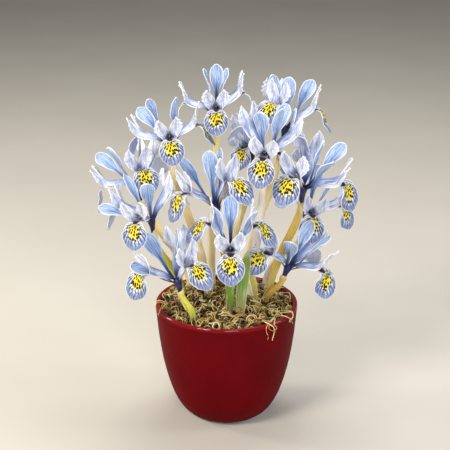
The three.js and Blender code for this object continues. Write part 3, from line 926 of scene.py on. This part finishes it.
@dataclass(frozen=True)
class Pot:
    """The glazed pot, turned from its profile of heights and radii ring by ring."""

    profile: Rows = ((0, 28.5), (1.2, 31.6), (7, 37.7), (20, 44.5), (42, 50.8), (66, 54.8), (93.4, 57.5))
    height: float = 96
    wall: float = 4
    lip: float = 1.9
    soil_top: float = 84
    gap: float = 0.35
    sides: int = 128
    outer_rows: int = 46
    lip_rows: int = 9
    inner_depths: tuple[float, ...] = (6, 14, 30, 76)
    floor_height: float = 6
    floor_inset: float = 3

    def radius_at(self, height: float) -> float:
        """The outer radius at a height."""
        return float(np.interp(height, *zip(*self.profile)))

    def rings(self) -> list[tuple[float, float]]:
        """The radius and height of every ring, up the outside, over the lip and down the inside."""
        rings = [(r, z) for r, z in through([(r, z) for z, r in self.profile], self.outer_rows)]
        middle = self.radius_at(self.height) - self.wall / 2
        for turn in np.radians(np.linspace(20, 160, self.lip_rows)):
            height = self.height - self.lip * (1 - math.sin(turn))
            rings.append((middle + self.wall / 2 * math.cos(turn), height))
        for height in (self.height - depth for depth in self.inner_depths):
            rings.append((self.radius_at(height) - self.wall, height))
        rings.append((self.radius_at(self.floor_height) - self.wall - self.floor_inset, self.floor_height))
        return rings

    def build(self) -> None:
        """Turns the pot and dresses it."""
        rings = self.rings()
        radius, height = (size * MM for size in rings[0])
        bpy.ops.object.select_all(action="DESELECT")
        bpy.ops.mesh.primitive_circle_add(
            vertices=self.sides, radius=radius, fill_type="NGON", location=(0, 0, height)
        )
        piece = bpy.context.object
        piece.name = "glazed_pot"
        bpy.ops.object.transform_apply(location=True, rotation=True, scale=True)
        bpy.ops.object.mode_set(mode="EDIT")
        bpy.ops.mesh.select_mode(type="EDGE")
        bpy.ops.mesh.select_all(action="SELECT")
        bpy.ops.mesh.flip_normals()
        bpy.ops.mesh.region_to_loop()
        for (radius, height), (next_radius, next_height) in zip(rings, rings[1:]):
            rise = (next_height - height) * MM
            bpy.ops.mesh.extrude_region_move(TRANSFORM_OT_translate={"value": (0, 0, rise)})
            bpy.ops.transform.resize(value=(next_radius / radius, next_radius / radius, 1))
        bpy.ops.mesh.edge_face_add()
        bpy.ops.mesh.select_all(action="SELECT")
        bpy.ops.mesh.normals_make_consistent(inside=False)
        bpy.ops.object.mode_set(mode="OBJECT")
        piece.data.materials.append(GlazeFinish().make())
        hand_over(piece, "glaze", "pot", sharp=50)


@dataclass(frozen=True)
class Soil:
    """The soil keeps its solid's shape, and gets its finish here."""

    def build(self) -> None:
        """Dresses the soil."""
        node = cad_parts["soil"]
        node.data.materials.clear()
        node.data.materials.append(SoilFinish().make())
        LOG.info("soil: dressed where it lies")


@dataclass(frozen=True)
class Tuft:
    """One kind of moss strand: how many there are, their points, pace, range of radii, corners and tone."""

    count: int
    points: int
    pace: float
    radii: tuple[float, float]
    corners: int
    tone: float


@dataclass(frozen=True)
class Moss:
    """The mat of moss, coloured dark in its depth as painted shade, and the tangle of dry strands on it.

    The mat rises from its edge to a crown and to one mound. A strand that hangs over the rim is its azimuth,
    how far it drifts round, how far down it reaches and its radius.
    """

    pot: Pot
    edge: float = 10
    crown: float = 5
    mound_place: tuple[float, float] = (-37, 6)
    mound_rise: float = 5
    mound_spread: float = 17
    cells: Cells = (90, 90)
    mat_drop: float = 5.5
    mat_depth: float = 7
    tufts: tuple[Tuft, ...] = (
        Tuft(760, 16, 1.1, (0.24, 0.54), corners=4, tone=0.58),
        Tuft(800, 7, 1.3, (0.2, 0.36), corners=3, tone=0.5),
    )
    hanging: Rows = (
        (33, 6, 14, 0.42), (44, -5, 6, 0.36), (60, 4, 9, 0.36), (30, 9, 8, 0.28), (37, -6, 12, 0.24),
        (52, 7, 5, 0.28), (66, -6, 6, 0.24), (-72, 7, 3, 0.3), (-79, -6, 4, 0.26), (-86, 6, 3, 0.3),
    )
    hanging_points: int = 14
    hanging_corners: int = 5
    hanging_tone: float = 0.85
    tone_spread: float = 0.3
    seed: int = 5148

    @property
    def rim(self) -> float:
        """The radius of the mat, just inside the pot's wall."""
        return self.pot.radius_at(self.pot.soil_top) - self.pot.wall - self.pot.gap

    def height(self, x: Array, y: Array) -> Array:
        """The height of the mat at places.

        Args:
            x: How far to the right they are, in millimetres.
            y: How far back they are.

        Returns:
            Their heights.
        """
        share = np.minimum(1, np.hypot(x, y) / self.rim)
        left, back = self.mound_place
        mound = self.mound_rise * np.exp(-((x - left) ** 2 + (y - back) ** 2) / self.mound_spread**2)
        return self.pot.soil_top + self.pot.gap + self.edge + self.crown * (1 - share**2) + mound

    def lumps(self, x: Array, y: Array) -> Array:
        """Small lumps and hollows of the mat."""
        waves = np.sin(0.43 * x + 1.3) * np.cos(0.39 * y - 0.4) + 0.6 * np.sin(0.9 * x - 0.7 * y)
        return 0.9 * waves + 0.5 * np.sin(1.9 * x + 0.4) * np.sin(1.7 * y + 2.0)

    def build_mat(self) -> None:
        """Makes the body of the mat: a square sheet drawn out into a lumpy disc, drawn down and closed."""
        across, along = places(self.cells)
        u, v = across, along * 2 - 1
        x = self.rim * u * np.sqrt(1 - v * v / 2)
        y = self.rim * v * np.sqrt(1 - u * u / 2)
        z = self.height(x, y) + 1.3 * self.lumps(x, y) - self.mat_drop
        mat = sheet("moss_mat", self.cells, np.stack([x, y, z], axis=1))
        mat.data.materials.append(MatFinish().make())
        pick(mat)
        bpy.ops.object.mode_set(mode="EDIT")
        bpy.ops.mesh.select_mode(type="EDGE")
        bpy.ops.mesh.select_all(action="SELECT")
        bpy.ops.mesh.region_to_loop()
        bpy.ops.mesh.extrude_region_move(TRANSFORM_OT_translate={"value": (0, 0, -self.mat_depth * MM)})
        bpy.ops.mesh.edge_face_add()
        bpy.ops.object.mode_set(mode="OBJECT")
        hand_over(mat, "moss", sharp=80)

    def wander(self, random: np.random.Generator, tuft: Tuft) -> Array:
        """Curly lines that wander over the mat.

        Args:
            random: The source of their differences.
            tuft: Their kind.

        Returns:
            The lines, as count lines of points.
        """
        count, points, step = tuft.count, tuft.points, tuft.pace
        turn = random.uniform(0, 2 * np.pi, 4 * count)
        radius = self.rim * np.sqrt(random.uniform(0, 1, 4 * count))
        crowd = self.lumps(radius * np.cos(turn), radius * np.sin(turn)) + random.normal(0, 0.5, 4 * count)
        chosen = np.argsort(-crowd)[: 2 * count : 2]
        turn, radius = turn[chosen], radius[chosen]
        bend = random.choice((-1, 1), count) * step / random.uniform(1.6, 6.5, count)
        drift = np.cumsum(random.normal(0, 0.2, (count, points)), axis=1)
        ways = random.uniform(0, 2 * np.pi, (count, 1)) + bend[:, None] * np.arange(points) + drift
        ahead, aside = (np.cumsum(way, axis=1) * step for way in (np.cos(ways), np.sin(ways)))
        ahead -= ahead.mean(axis=1, keepdims=True)
        aside -= aside.mean(axis=1, keepdims=True)
        tilt = random.uniform(0.3, 1.5, (count, 1)) * random.choice((-1, 1), (count, 1))
        face = random.uniform(0, np.pi, (count, 1))
        level = aside * np.cos(tilt)
        x = (radius * np.cos(turn))[:, None] + ahead * np.cos(face) - level * np.sin(face)
        y = (radius * np.sin(turn))[:, None] + ahead * np.sin(face) + level * np.cos(face)
        reach, limit = np.hypot(x, y), self.rim + 0.8
        held = np.where(reach > limit, limit / reach, 1)
        x, y = x * held, y * held
        foot = random.uniform(-3.6, 0.6, (count, 1))
        standing = 4.5 * np.tanh(aside * np.sin(tilt) / 4.5)
        return np.stack([x, y, self.height(x, y) + foot + standing], axis=2)

    def hanging_lines(self) -> Array:
        """The lines of the strands that hang over the lip."""
        pot, clear = self.pot, 1.5
        edge, stations = pot.radius_at(pot.height), np.linspace(0, 1, self.hanging_points)
        lines = []
        for azimuth, drift, drop, _ in self.hanging:
            rows = (
                (edge - 3 * pot.wall, pot.height - 1),
                (edge - pot.wall, pot.height + clear),
                (edge - 0.4, pot.height + clear),
                (edge + clear, pot.height - pot.lip),
                (edge + 1.2, pot.height - drop * 0.6),
                (edge + clear, pot.height - drop),
            )
            radius, height = read(np.array(rows), stations)
            turns = np.radians(azimuth + drift * stations + 2 * np.sin(9 * stations + azimuth))
            lines.append(np.stack([radius * np.sin(turns), -radius * np.cos(turns), height], axis=1))
        return np.array(lines)

    @staticmethod
    def tubes(lines: Array, radii: Array, corners: int) -> tuple[Array, list[tuple[int, ...]]]:
        """Thin tubes along lines.

        Args:
            lines: The lines, as count lines of points.
            radii: The radius of each line in the middle of its length.
            corners: How many sides each tube has.

        Returns:
            The points, as count lines of rings of corners, and the faces.
        """
        count, points, _ = lines.shape
        along = np.gradient(lines, axis=1)
        along /= np.linalg.norm(along, axis=2, keepdims=True)
        side = np.cross(along, UP)
        side /= np.linalg.norm(side, axis=2, keepdims=True) + 1e-9
        over = np.cross(side, along)
        taper = (0.45 + 0.55 * np.sin(np.pi * np.linspace(0, 1, points)) ** 0.6)[None, :, None]
        turns = 2 * np.pi * np.arange(corners) / corners + 0.5
        rings = [lines + (side * np.cos(t) + over * np.sin(t)) * taper * radii[:, None, None] for t in turns]
        faces = []
        for start in range(0, count * points * corners, points * corners):
            end = start + (points - 1) * corners
            faces.append(tuple(range(start + corners - 1, start - 1, -1)))
            for row in range(start, end, corners):
                for a, b in ((row + corner, row + (corner + 1) % corners) for corner in range(corners)):
                    faces.append((a, b, b + corners, a + corners))
            faces.append(tuple(range(end, end + corners)))
        return np.stack(rings, axis=2), faces

    def build_tangle(self) -> None:
        """Makes the strands, in code because each one of so many curls its own way."""
        random = np.random.default_rng(self.seed)
        groups = [
            (self.wander(random, tuft), random.uniform(*tuft.radii, tuft.count), tuft.corners, tuft.tone)
            for tuft in self.tufts
        ]
        radii = np.array([row[3] for row in self.hanging])
        groups.append((self.hanging_lines(), radii, self.hanging_corners, self.hanging_tone))
        points, notes, faces = np.empty((0, 3)), np.empty((0, 3)), []
        for lines, radii, corners, tone in groups:
            tones = np.clip(random.normal(tone, self.tone_spread, len(lines)), 0, 1)
            tubes, sides = self.tubes(lines, radii, corners)
            faces += [tuple(corner + len(points) for corner in face) for face in sides]
            marks = np.zeros(tubes.shape)
            marks[..., 0] = tones[:, None, None]
            marks[..., 1] = np.linspace(0, 1, lines.shape[1])[None, :, None]
            points = np.vstack([points, tubes.reshape(-1, 3)])
            notes = np.vstack([notes, marks.reshape(-1, 3)])
        x, y, z = points.T
        # The height of each point in the tangle, which the strand finish turns into painted shade low down;
        # strands over the rim get none.
        depth = np.where(np.hypot(x, y) > self.rim, 1, (z - self.height(x, y) + 3.2) / 4.5)
        mesh = bpy.data.meshes.new("moss_tangle")
        mesh.from_pydata((points * MM).tolist(), [], faces)
        mesh.update()
        piece = bpy.data.objects.new("moss_tangle", mesh)
        bpy.context.scene.collection.objects.link(piece)
        note(piece, "strand", notes[:, 0], notes[:, 1], depth)
        piece.data.materials.append(StrandFinish().make())
        hand_over(piece, "moss", "moss", sharp=70)

    def build(self) -> None:
        """Makes the mat and its tangle."""
        self.build_mat()
        self.build_tangle()


# The blooms


@dataclass(frozen=True)
class PetalPath:
    """The middle line of one petal, and the places beside it and above it."""

    form: PetalForm
    size: float
    azimuth: float
    lift: float
    twist: float
    pace: float = 0.5

    def line(self) -> Array:
        """Rows of the distance along the line, how far out and up it is there, and its angle in degrees."""
        form = self.form
        foot, haft, blade = np.add(form.angles, np.multiply(form.lift_shares, self.lift))
        middle = (np.arange(int(form.length / self.pace)) + 0.5) * self.pace
        angle = mix(foot, haft, smooth(0, form.haft, middle))
        angle = mix(angle, blade, smooth(form.haft, form.knee, middle))
        steps = np.stack([np.ones(len(middle)), np.cos(np.radians(angle)), np.sin(np.radians(angle))])
        walked = np.hstack([np.zeros((3, 1)), np.cumsum(steps, axis=1)]) * self.pace
        distance, out, up = walked + np.array([[0], *([start] for start in form.start)])
        return np.stack([distance, out * self.size, up * self.size, [foot, *angle]])

    def at(self, distance: Array, side: Array, above: Array) -> Array:
        """Places on the petal, in the bloom's own upright frame.

        Args:
            distance: How far along the petal, in a full-size bloom's millimetres.
            side: How far to the left of its middle.
            above: How far above its surface.

        Returns:
            The points, in millimetres from the top of the bloom's tube.
        """
        stations, *columns = self.line()
        out, up, angle = (np.interp(distance, stations, column) for column in columns)
        angle, turn = np.radians(angle), np.radians(self.twist * (distance / self.form.twist_at) ** 2)
        sideways = self.size * (side * np.cos(turn) - above * np.sin(turn))
        lifted = self.size * (side * np.sin(turn) + above * np.cos(turn))
        ahead = heading(self.azimuth)
        across = np.array([-ahead[1], ahead[0], 0.0])
        outward, upward = out - lifted * np.sin(angle), up + lifted * np.cos(angle)
        return np.outer(outward, ahead) + np.outer(sideways, across) + np.outer(upward, UP)


@dataclass(frozen=True)
class PetalKit:
    """The finishes of a bloom, each made once for all of them."""

    fall: Material = field(default_factory=FallFinish().make)
    fall_back: Material = field(default_factory=FallBackFinish().make)
    standard: Material = field(default_factory=StandardFinish().make)
    style: Material = field(default_factory=StyleFinish().make)
    tube: Material = field(default_factory=TubeFinish().make)
    stamen: Material = field(default_factory=StamenFinish().make)


@dataclass(frozen=True)
class Bloom:
    """One flower: its tube, three falls, three standards, and three style arms with a stamen under each.

    A ruffle is how far a petal's edges wave and how often. A sway is how many degrees a petal twists at
    most where its plan says nothing, and a style arm turns a little from its fall. The lobes of a crest
    grow between two distances along the style arm, which forks at another.
    """

    plan: BloomPlan
    index: int
    kit: PetalKit
    fall_cells: Cells = (18, 46)
    fall_ruffle: tuple[float, float] = (0.5, 3.2)
    fall_sway: float = 5
    standard_cells: Cells = (12, 30)
    standard_ruffle: tuple[float, float] = (0.45, 1.6)
    standard_sway: float = 16
    style_cells: Cells = (7, 44)
    style_turn: float = 2
    style_sway: float = 3
    lobe: tuple[float, float] = (26, 34)
    fork: float = 29
    stamen_cells: Cells = (8, 12)
    stamen_rows: Rows = ((3, 0.3), (13, 0.35), (15, 0.75), (22, 0.65), (24, 0.05))
    tube_cells: Cells = (14, 16)
    thickness: float = 0.42

    def settled(self, points: Array) -> Array:
        """Points of the upright bloom, leaned and set on its stem, in the row's frame."""
        return self.plan.leaned(points) + self.plan.hub

    def petal(
        self, path: PetalPath, cells: Cells, ruffle: tuple[float, float], seed: float, *finishes: Material
    ) -> Piece:
        """One fall or standard: a sheet drawn to the petal's outline, cupped and ruffled, then thickened.

        Args:
            path: Its middle line.
            cells: How many faces it has across and along.
            ruffle: How far its edges wave, and how often.
            seed: Its own number, from 0 to 1.
            finishes: Its finish, and a second one for its back where it has one.

        Returns:
            The petal.
        """
        length, (depth, waves) = path.form.length, ruffle
        across, along = places(cells)
        distance, half, edge = read(through(path.form.rows, cells[1] + 1, rounded=True), along)
        half = np.maximum(half, 0)
        blade = smooth(length * 0.45, length * 0.75, distance)
        turns = 2 * np.pi * waves * along
        wave = np.sin(turns + 9 * seed + 1.7 * np.sign(across)) + 0.5 * np.sin(2.3 * turns + 17 * seed)
        above = edge * across**2 + depth * blade * np.abs(across) ** 3 * wave
        margin = np.minimum(half * (1 - np.abs(across)), np.maximum(0, length - distance))
        piece = sheet("petal", cells, self.settled(path.at(distance, -across * half, above)))
        note(piece, "petal", -across * half, distance, margin)
        note(piece, "petal_share", across, along, seed)
        return finished(piece, finishes, self.thickness)

    def style_half(self, path: PetalPath, hand: int, seed: float) -> Piece:
        """The left or right half of a style arm, with its lobe of the crest.

        Args:
            path: The arm's middle line.
            hand: -1 for the one half and 1 for the other.
            seed: The arm's own number, from 0 to 1.

        Returns:
            The half, as a thin sheet.
        """
        rows, length = np.array(path.form.rows, float), path.form.length
        across, along = places(self.style_cells)
        distance = length * along
        stations, outers, drops = through(rows[:, [0, 2, 4]], 200).T
        outer, drop = np.interp(distance, stations, outers), np.interp(distance, stations, drops)
        inner, ridge = (np.interp(distance, rows[:, 0], rows[:, i]) for i in (1, 3))
        lobe = smooth(*self.lobe, distance)
        waves = 0.75 * np.sin(1.9 * distance + 20 * seed) + 0.5 * np.sin(4.3 * distance + hand)
        ragged = self.plan.frill * lobe * waves * (1 - smooth(length - 4, length, distance))
        width = np.maximum(0.06, outer + ragged - inner)
        share = (1 - hand * across) / 2
        side = hand * (inner + width * share)
        wave = 0.5 * np.sin(3 * share + 9 * seed) + 0.35 * np.sin(1.5 * distance + 5 * share + 7 * seed)
        curl = lobe * (1.5 * share**2 * smooth(33, 44, distance) + wave * share)
        forked = distance > self.fork
        margin = np.minimum(width * (1 - share), length - distance)
        margin = np.where(forked, np.minimum(margin, width * share), margin)
        points = path.at(distance, side, ridge + (drop - ridge) * share**1.7 + curl)
        piece = sheet("style_half", self.style_cells, self.settled(points))
        note(piece, "petal", side, distance, margin)
        note(piece, "petal_share", np.where(forked, hand * across, (hand - across) / 2), along, seed)
        return piece

    def style_arm(self, path: PetalPath, seed: float) -> Piece:
        """A whole style arm: its two halves, closed along the ridge up to the fork of the crest."""
        arm = joined("style_arm", [self.style_half(path, hand, seed) for hand in (-1, 1)])
        return finished(arm, (self.kit.style,), self.thickness)

    def stamen(self, path: PetalPath) -> Piece:
        """A stamen in the shelter of its style arm.

        Args:
            path: The middle line of the arm.

        Returns:
            The stamen.
        """
        across, along = places(self.stamen_cells)
        distance, radius = read(through(self.stamen_rows, self.stamen_cells[1] + 1), along)
        side, above = -radius * np.cos(np.pi * across), -1.5 + radius * np.sin(np.pi * across)
        points = replace(path, twist=0).at(distance, side, above)
        piece = sheet("stamen", self.stamen_cells, self.settled(points))
        note(piece, "petal", across, mix(self.stamen_rows[0][0], self.stamen_rows[-1][0], along), across)
        return finished(piece, (self.kit.stamen,))

    def tube(self) -> Piece:
        """The tube, which swells up to where the petals leave it and closes over in a low dome."""
        size, depth = self.plan.size, self.plan.tube * self.plan.size
        swell = (0.6, 3.3 * size)
        rows = ((-depth, 1.7 * size), (-0.4 * depth, 2.2 * size), swell, (3, 2.2 * size), (3.8, 0))
        across, along = places(self.tube_cells)
        height, radius = read(through(rows, self.tube_cells[1] + 1), along)
        radius = radius * (1 + 0.06 * np.cos(3 * np.pi * across))
        points = np.stack([radius * np.cos(np.pi * across), radius * np.sin(np.pi * across), height], axis=1)
        return finished(sheet("tube", self.tube_cells, self.settled(points)), (self.kit.tube,))

    def build(self) -> None:
        """Makes the bloom's pieces, joins them and hands them over."""
        plan, kit, index = self.plan, self.kit, self.index
        pieces = [self.tube()]
        for i, (azimuth, lift, *turns) in enumerate(plan.falls):
            seed = (vary(index, i, 5) + 1) / 2
            twist = turns[0] if turns else self.fall_sway * vary(index, i, 1)
            path = PetalPath(FALL, plan.size, azimuth, lift, twist)
            arm_azimuth = azimuth + self.style_turn * vary(index, i, 2)
            arm = PetalPath(STYLE, plan.size, arm_azimuth, lift, self.style_sway * vary(index, i, 3))
            pieces.append(self.petal(path, self.fall_cells, self.fall_ruffle, seed, kit.fall, kit.fall_back))
            pieces += [self.style_arm(arm, seed), self.stamen(arm)]
        for i, (azimuth, lift, *turns) in enumerate(plan.standards):
            seed = (vary(index, i, 6) + 1) / 2
            twist = turns[0] if turns else self.standard_sway * vary(index, i, 4)
            path = PetalPath(STANDARD, plan.size, azimuth, lift, twist)
            pieces.append(self.petal(path, self.standard_cells, self.standard_ruffle, seed, kit.standard))
        hand_over(joined("flower_" + plan.name, pieces), "petal", "bloom_" + plan.name)


# The plants


@dataclass(frozen=True)
class Shoot:
    """One plant below its bloom: its bulb, its stalk, two sheaths round it, and its leaf where it has one.

    A row of the stem is a share of the way from the moss to the tube, half the width and half the depth. A
    row of the leaf is a share of its height, how far it leans away and half its width. A row of the bulb is
    how far below its top it is, and its radius. The sheaths swell in full where the stem is long.
    """

    plan: BloomPlan
    index: int
    pot: Pot
    finish: Material
    leaf_finish: Material
    bulb_finish: Material
    stem_rows: Rows = (
        (0, 2.6, 2.3), (0.25, 3.5, 2.5), (0.7, 3.29, 2.5), (0.92, 2.6, 2.3), (1, 2.4, 2.4), (1.1, 3, 3)
    )
    least_swell: float = 0.3
    short_reach: float = 20
    long_reach: float = 60
    stalk_radii: tuple[float, float] = (1.9, 1.75)
    stalk_cells: Cells = (12, 24)
    sheath_cells: Cells = (20, 36)
    sheath_thickness: float = 0.4
    leaf_rows: Rows = ((-0.1, 0, 3), (0.05, 0, 3.5), (0.6, 2.4, 4.8), (0.85, 4.4, 3.4), (1, 6, 0))
    leaf_cells: Cells = (12, 30)
    leaf_thickness: float = 1.0
    leaf_spread: float = 9
    bulb_rows: Rows = ((16, 0), (15.5, 2.3), (10, 5.8), (4, 4.2), (0, 2.2), (-6, 2.2))
    bulb_cells: Cells = (20, 14)
    bulb_top: float = 62
    bulb_inset: float = 0.87

    def ends(self) -> tuple[Array, Array, Array]:
        """The stem's place in the moss, the foot of its bloom's tube, and the top of its bulb."""
        plan = self.plan
        root = np.array([*plan.root, self.pot.height], float)
        foot = plan.hub - plan.leaned(UP) * (plan.tube * plan.size + self.pot.gap)
        return root, foot, np.array([*np.multiply(plan.root, self.bulb_inset), self.bulb_top])

    def reach(self) -> float:
        """The distance from the moss to the foot of the tube."""
        root, foot, _ = self.ends()
        return float(np.linalg.norm(foot - root))

    def line(self, t: Array) -> tuple[Array, Array]:
        """The stem's line.

        Args:
            t: Places along it, where 0 is at the moss and 1 at the tube's foot.

        Returns:
            The points there, and the line's directions.
        """
        root, foot, bulb = self.ends()
        reach = self.reach()
        rising = (root - bulb) / np.linalg.norm(root - bulb)
        near, far = root + rising * reach * 0.4, foot - self.plan.leaned(UP) * reach * 0.3
        held = np.clip(t, 0, 1)[:, None]
        s = 1 - held
        points = s**3 * root + 3 * s * s * held * near + 3 * s * held**2 * far + held**3 * foot
        ways = s * s * (near - root) + 2 * s * held * (far - near) + held * held * (foot - far)
        ways = ways / np.linalg.norm(ways, axis=1, keepdims=True)
        return points + (t[:, None] - held) * reach * ways, ways

    def round_line(self, t: Array, turn: Array, wide: Array, deep: Array) -> Array:
        """Places round the stem's line.

        Args:
            t: How far along it they are.
            turn: How far round it, as an angle.
            wide: How far they are from it to its flat side.
            deep: How far they are from it across that.

        Returns:
            The points.
        """
        centre, forward = self.line(t)
        flat = heading(self.plan.falls[0][0] + 90)
        side = flat - (forward @ flat)[:, None] * forward
        side = side / np.linalg.norm(side, axis=1, keepdims=True)
        back = np.cross(forward, side)
        return centre + side * (wide * np.cos(turn))[:, None] + back * (deep * np.sin(turn))[:, None]

    def radii(self, t: Array) -> tuple[Array, Array]:
        """Half the width and half the depth of the sheathed stem, which swells less where it is short.

        Args:
            t: Places along the stem.

        Returns:
            The two sizes there.
        """
        shares, wide, deep = np.array(self.stem_rows).T
        swell = mix(self.least_swell, 1, smooth(self.short_reach, self.long_reach, self.reach()))
        return np.interp(t, shares, mix(wide[-2], wide, swell)), np.interp(t, shares, deep)

    def stalk(self) -> Piece:
        """The stalk inside the sheaths, from the moss to the foot of the bloom's tube."""
        across, along = places(self.stalk_cells)
        radius = mix(self.stalk_radii[0], self.stalk_radii[1] * self.plan.size, along)
        points = self.round_line(-0.05 + 1.06 * along, np.pi * across, radius, radius)
        piece = sheet("stalk", self.stalk_cells, points)
        note(piece, "sheath", across, along, 5.0)
        return finished(piece, (self.finish,))

    def sheath(self, top: float, slope: float, grow: float, span: float, turn: float) -> Piece:
        """A sheath wrapped round the stalk, which ends in a tip on one side.

        Args:
            top: How far up the stem its tip is.
            slope: How much lower its edges end.
            grow: How much wider it is than the stem's own form, in millimetres.
            span: How much of the way round it covers, where 1 closes it.
            turn: The way its tip faces, in degrees.

        Returns:
            The sheath.
        """
        across, along = places(self.sheath_cells)
        ends = top - slope * np.abs(across) ** 1.4
        t = -0.05 + (ends + 0.05) * along
        wide, deep = self.radii(t)
        tip = smooth(0.8, 1, along)
        ease = 0.5 * tip * (1 - np.abs(across)) + 0.12 * np.sin(7 * np.pi * across + self.index)
        swell = 0.35 * across + grow + ease
        angle = np.pi * span * across * (1 - 0.35 * tip * (span < 0.95)) + math.radians(turn)
        piece = sheet("sheath", self.sheath_cells, self.round_line(t, angle, wide + swell, deep + swell))
        note(piece, "sheath", across * span, along * ends, np.minimum(1 - np.abs(across), 1 - along) * 6)
        return finished(piece, (self.finish,), self.sheath_thickness)

    def bulb(self) -> Piece:
        """The bulb in the soil, in its netted coat."""
        across, along = places(self.bulb_cells)
        drop, radius = read(through(self.bulb_rows, self.bulb_cells[1] + 1), along)
        turn = np.pi * across
        points = self.ends()[2] + np.stack([radius * np.cos(turn), radius * np.sin(turn), -drop], axis=1)
        return finished(sheet("bulb", self.bulb_cells, points), (self.bulb_finish,))

    def leaf(self) -> Piece:
        """The young leaf beside the stem: a channelled blade with a horny tip."""
        azimuth, height, face = self.plan.leaf
        away, front, side = heading(azimuth), heading(face), heading(face + 90)
        across, along = places(self.leaf_cells)
        rows = [(share * height, wide, lean) for share, lean, wide in self.leaf_rows]
        up, wide, lean = read(through(rows, 80, rounded=True), along)
        wide = np.maximum(wide, 0)
        fold = 1.1 * across**2 * wide / 4.8 + 0.2 * np.sin(5 * np.pi * across)
        foot = self.ends()[0] + away * self.leaf_spread
        points = foot + np.outer(up, UP) + np.outer(lean, away) + np.outer(fold, front)
        piece = sheet("leaf", self.leaf_cells, points + np.outer(across * wide, side))
        note(piece, "sheath", across * 0.5, along, np.minimum(1 - np.abs(across), 1 - along) * 5)
        return finished(piece, (self.leaf_finish,), self.leaf_thickness)

    def build(self) -> None:
        """Makes the plant's pieces, joins them and hands them over."""
        spin, outer_top = 180 * vary(self.index, 7, 1), 0.62 + 0.12 * vary(self.index, 8, 1)
        pieces = [
            self.bulb(),
            self.stalk(),
            self.sheath(top=1 + 6 / self.reach(), slope=0.16, grow=-0.35, span=1.0, turn=spin),
            self.sheath(top=outer_top, slope=0.3, grow=0.15, span=0.62, turn=spin + 150),
        ]
        if self.plan.leaf:
            pieces.append(self.leaf())
        hand_over(joined("shoot_" + self.plan.name, pieces), "stem", "plant_" + self.plan.name)


# The studio


@dataclass(frozen=True)
class Softbox:
    """A large soft light that faces the middle of the object."""

    name: str
    place: tuple[float, float, float]
    width: float
    depth: float
    power: float
    tint: str = "#ffffff"

    def build(self, aim: Vector) -> None:
        """Hangs the light.

        Args:
            aim: What it faces.
        """
        data = bpy.data.lights.new(self.name, "AREA")
        data.shape = "RECTANGLE"
        data.size = self.width
        data.size_y = self.depth
        data.energy = self.power
        data.color = colour(self.tint)[:3]
        lamp = bpy.data.objects.new(self.name, data)
        lamp.location = self.place
        lamp.rotation_euler = (aim - lamp.location).to_track_quat("-Z", "Y").to_euler()
        bpy.context.scene.collection.objects.link(lamp)


@dataclass(frozen=True)
class Studio:
    """The floor, the lights and the camera."""

    camera_place: tuple[float, float, float] = (-0.00122, -0.91706, 0.49475)
    camera_pitch: float = -20.0
    focal_pixels: float = 1230
    image_pixels: float = 450
    sensor: float = 36
    floor_size: float = 14
    floor_drop: float = 0.0002
    room_tint: str = "#f2f4f8"
    room_light: float = 0.21
    lights: tuple[Softbox, ...] = (
        Softbox("key", (-0.76, -0.85, 1.1), 0.45, 0.25, 17, "#fff8ee"),
        Softbox("fill", (0.2, -1.4, 0.65), 0.5, 0.4, 12, "#f2f6ff"),
        Softbox("side", (1.0, -0.1, 0.55), 0.35, 0.6, 5, "#f4f7ff"),
        Softbox("top", (0.1, 0.4, 1.35), 0.7, 0.5, 12),
        Softbox("edge", (-1.05, 0.25, 0.5), 0.22, 0.22, 5.5, "#fffaf4"),
    )

    def build_camera(self) -> None:
        """Stands the camera at the photograph's viewing angle."""
        data = bpy.data.cameras.new("camera")
        data.sensor_width = self.sensor
        data.lens = self.focal_pixels / self.image_pixels * self.sensor
        camera = bpy.data.objects.new("camera", data)
        camera.location = self.camera_place
        camera.rotation_euler = (math.radians(90 + self.camera_pitch), 0, 0)
        bpy.context.scene.collection.objects.link(camera)
        bpy.context.scene.camera = camera

    def build_floor(self) -> None:
        """Lays the plain pale floor."""
        bpy.ops.object.select_all(action="DESELECT")
        bpy.ops.mesh.primitive_plane_add(size=self.floor_size, location=(0, 0, -self.floor_drop))
        floor = bpy.context.object
        bpy.ops.object.transform_apply(location=True, rotation=True, scale=True)
        floor.name = "floor"
        floor.data.materials.append(FloorFinish().make())
        floor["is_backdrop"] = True

    def build_world(self) -> None:
        """Sets the even light of the room."""
        world = bpy.data.worlds.new("room")
        world.use_nodes = True
        background = world.node_tree.nodes["Background"]
        background.inputs["Color"].default_value = colour(self.room_tint)
        background.inputs["Strength"].default_value = self.room_light
        bpy.context.scene.world = world

    def build(self) -> None:
        """Sets up the studio."""
        self.build_camera()
        self.build_floor()
        self.build_world()
        low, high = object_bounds()
        for light in self.lights:
            light.build((low + high) / 2)
        bpy.context.scene.view_settings.view_transform = "Standard"


def main() -> None:
    """Builds every piece in order."""
    logging.basicConfig(level=logging.INFO, format="%(name)s: %(message)s")
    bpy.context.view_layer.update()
    Studio().build()
    pot = Pot()
    pot.build()
    Soil().build()
    Moss(pot).build()
    kit = PetalKit()
    sheaths = {tone: SheathFinish(tone).make() for tone in SheathTone}
    bulb_coat = BulbFinish().make()
    for index, plan in enumerate(BLOOM_PLANS):
        Shoot(plan, index, pot, sheaths[plan.tone], sheaths[plan.leaf_tone], bulb_coat).build()
        Bloom(plan, index, kit).build()


if __name__ == "__main__":
    main()
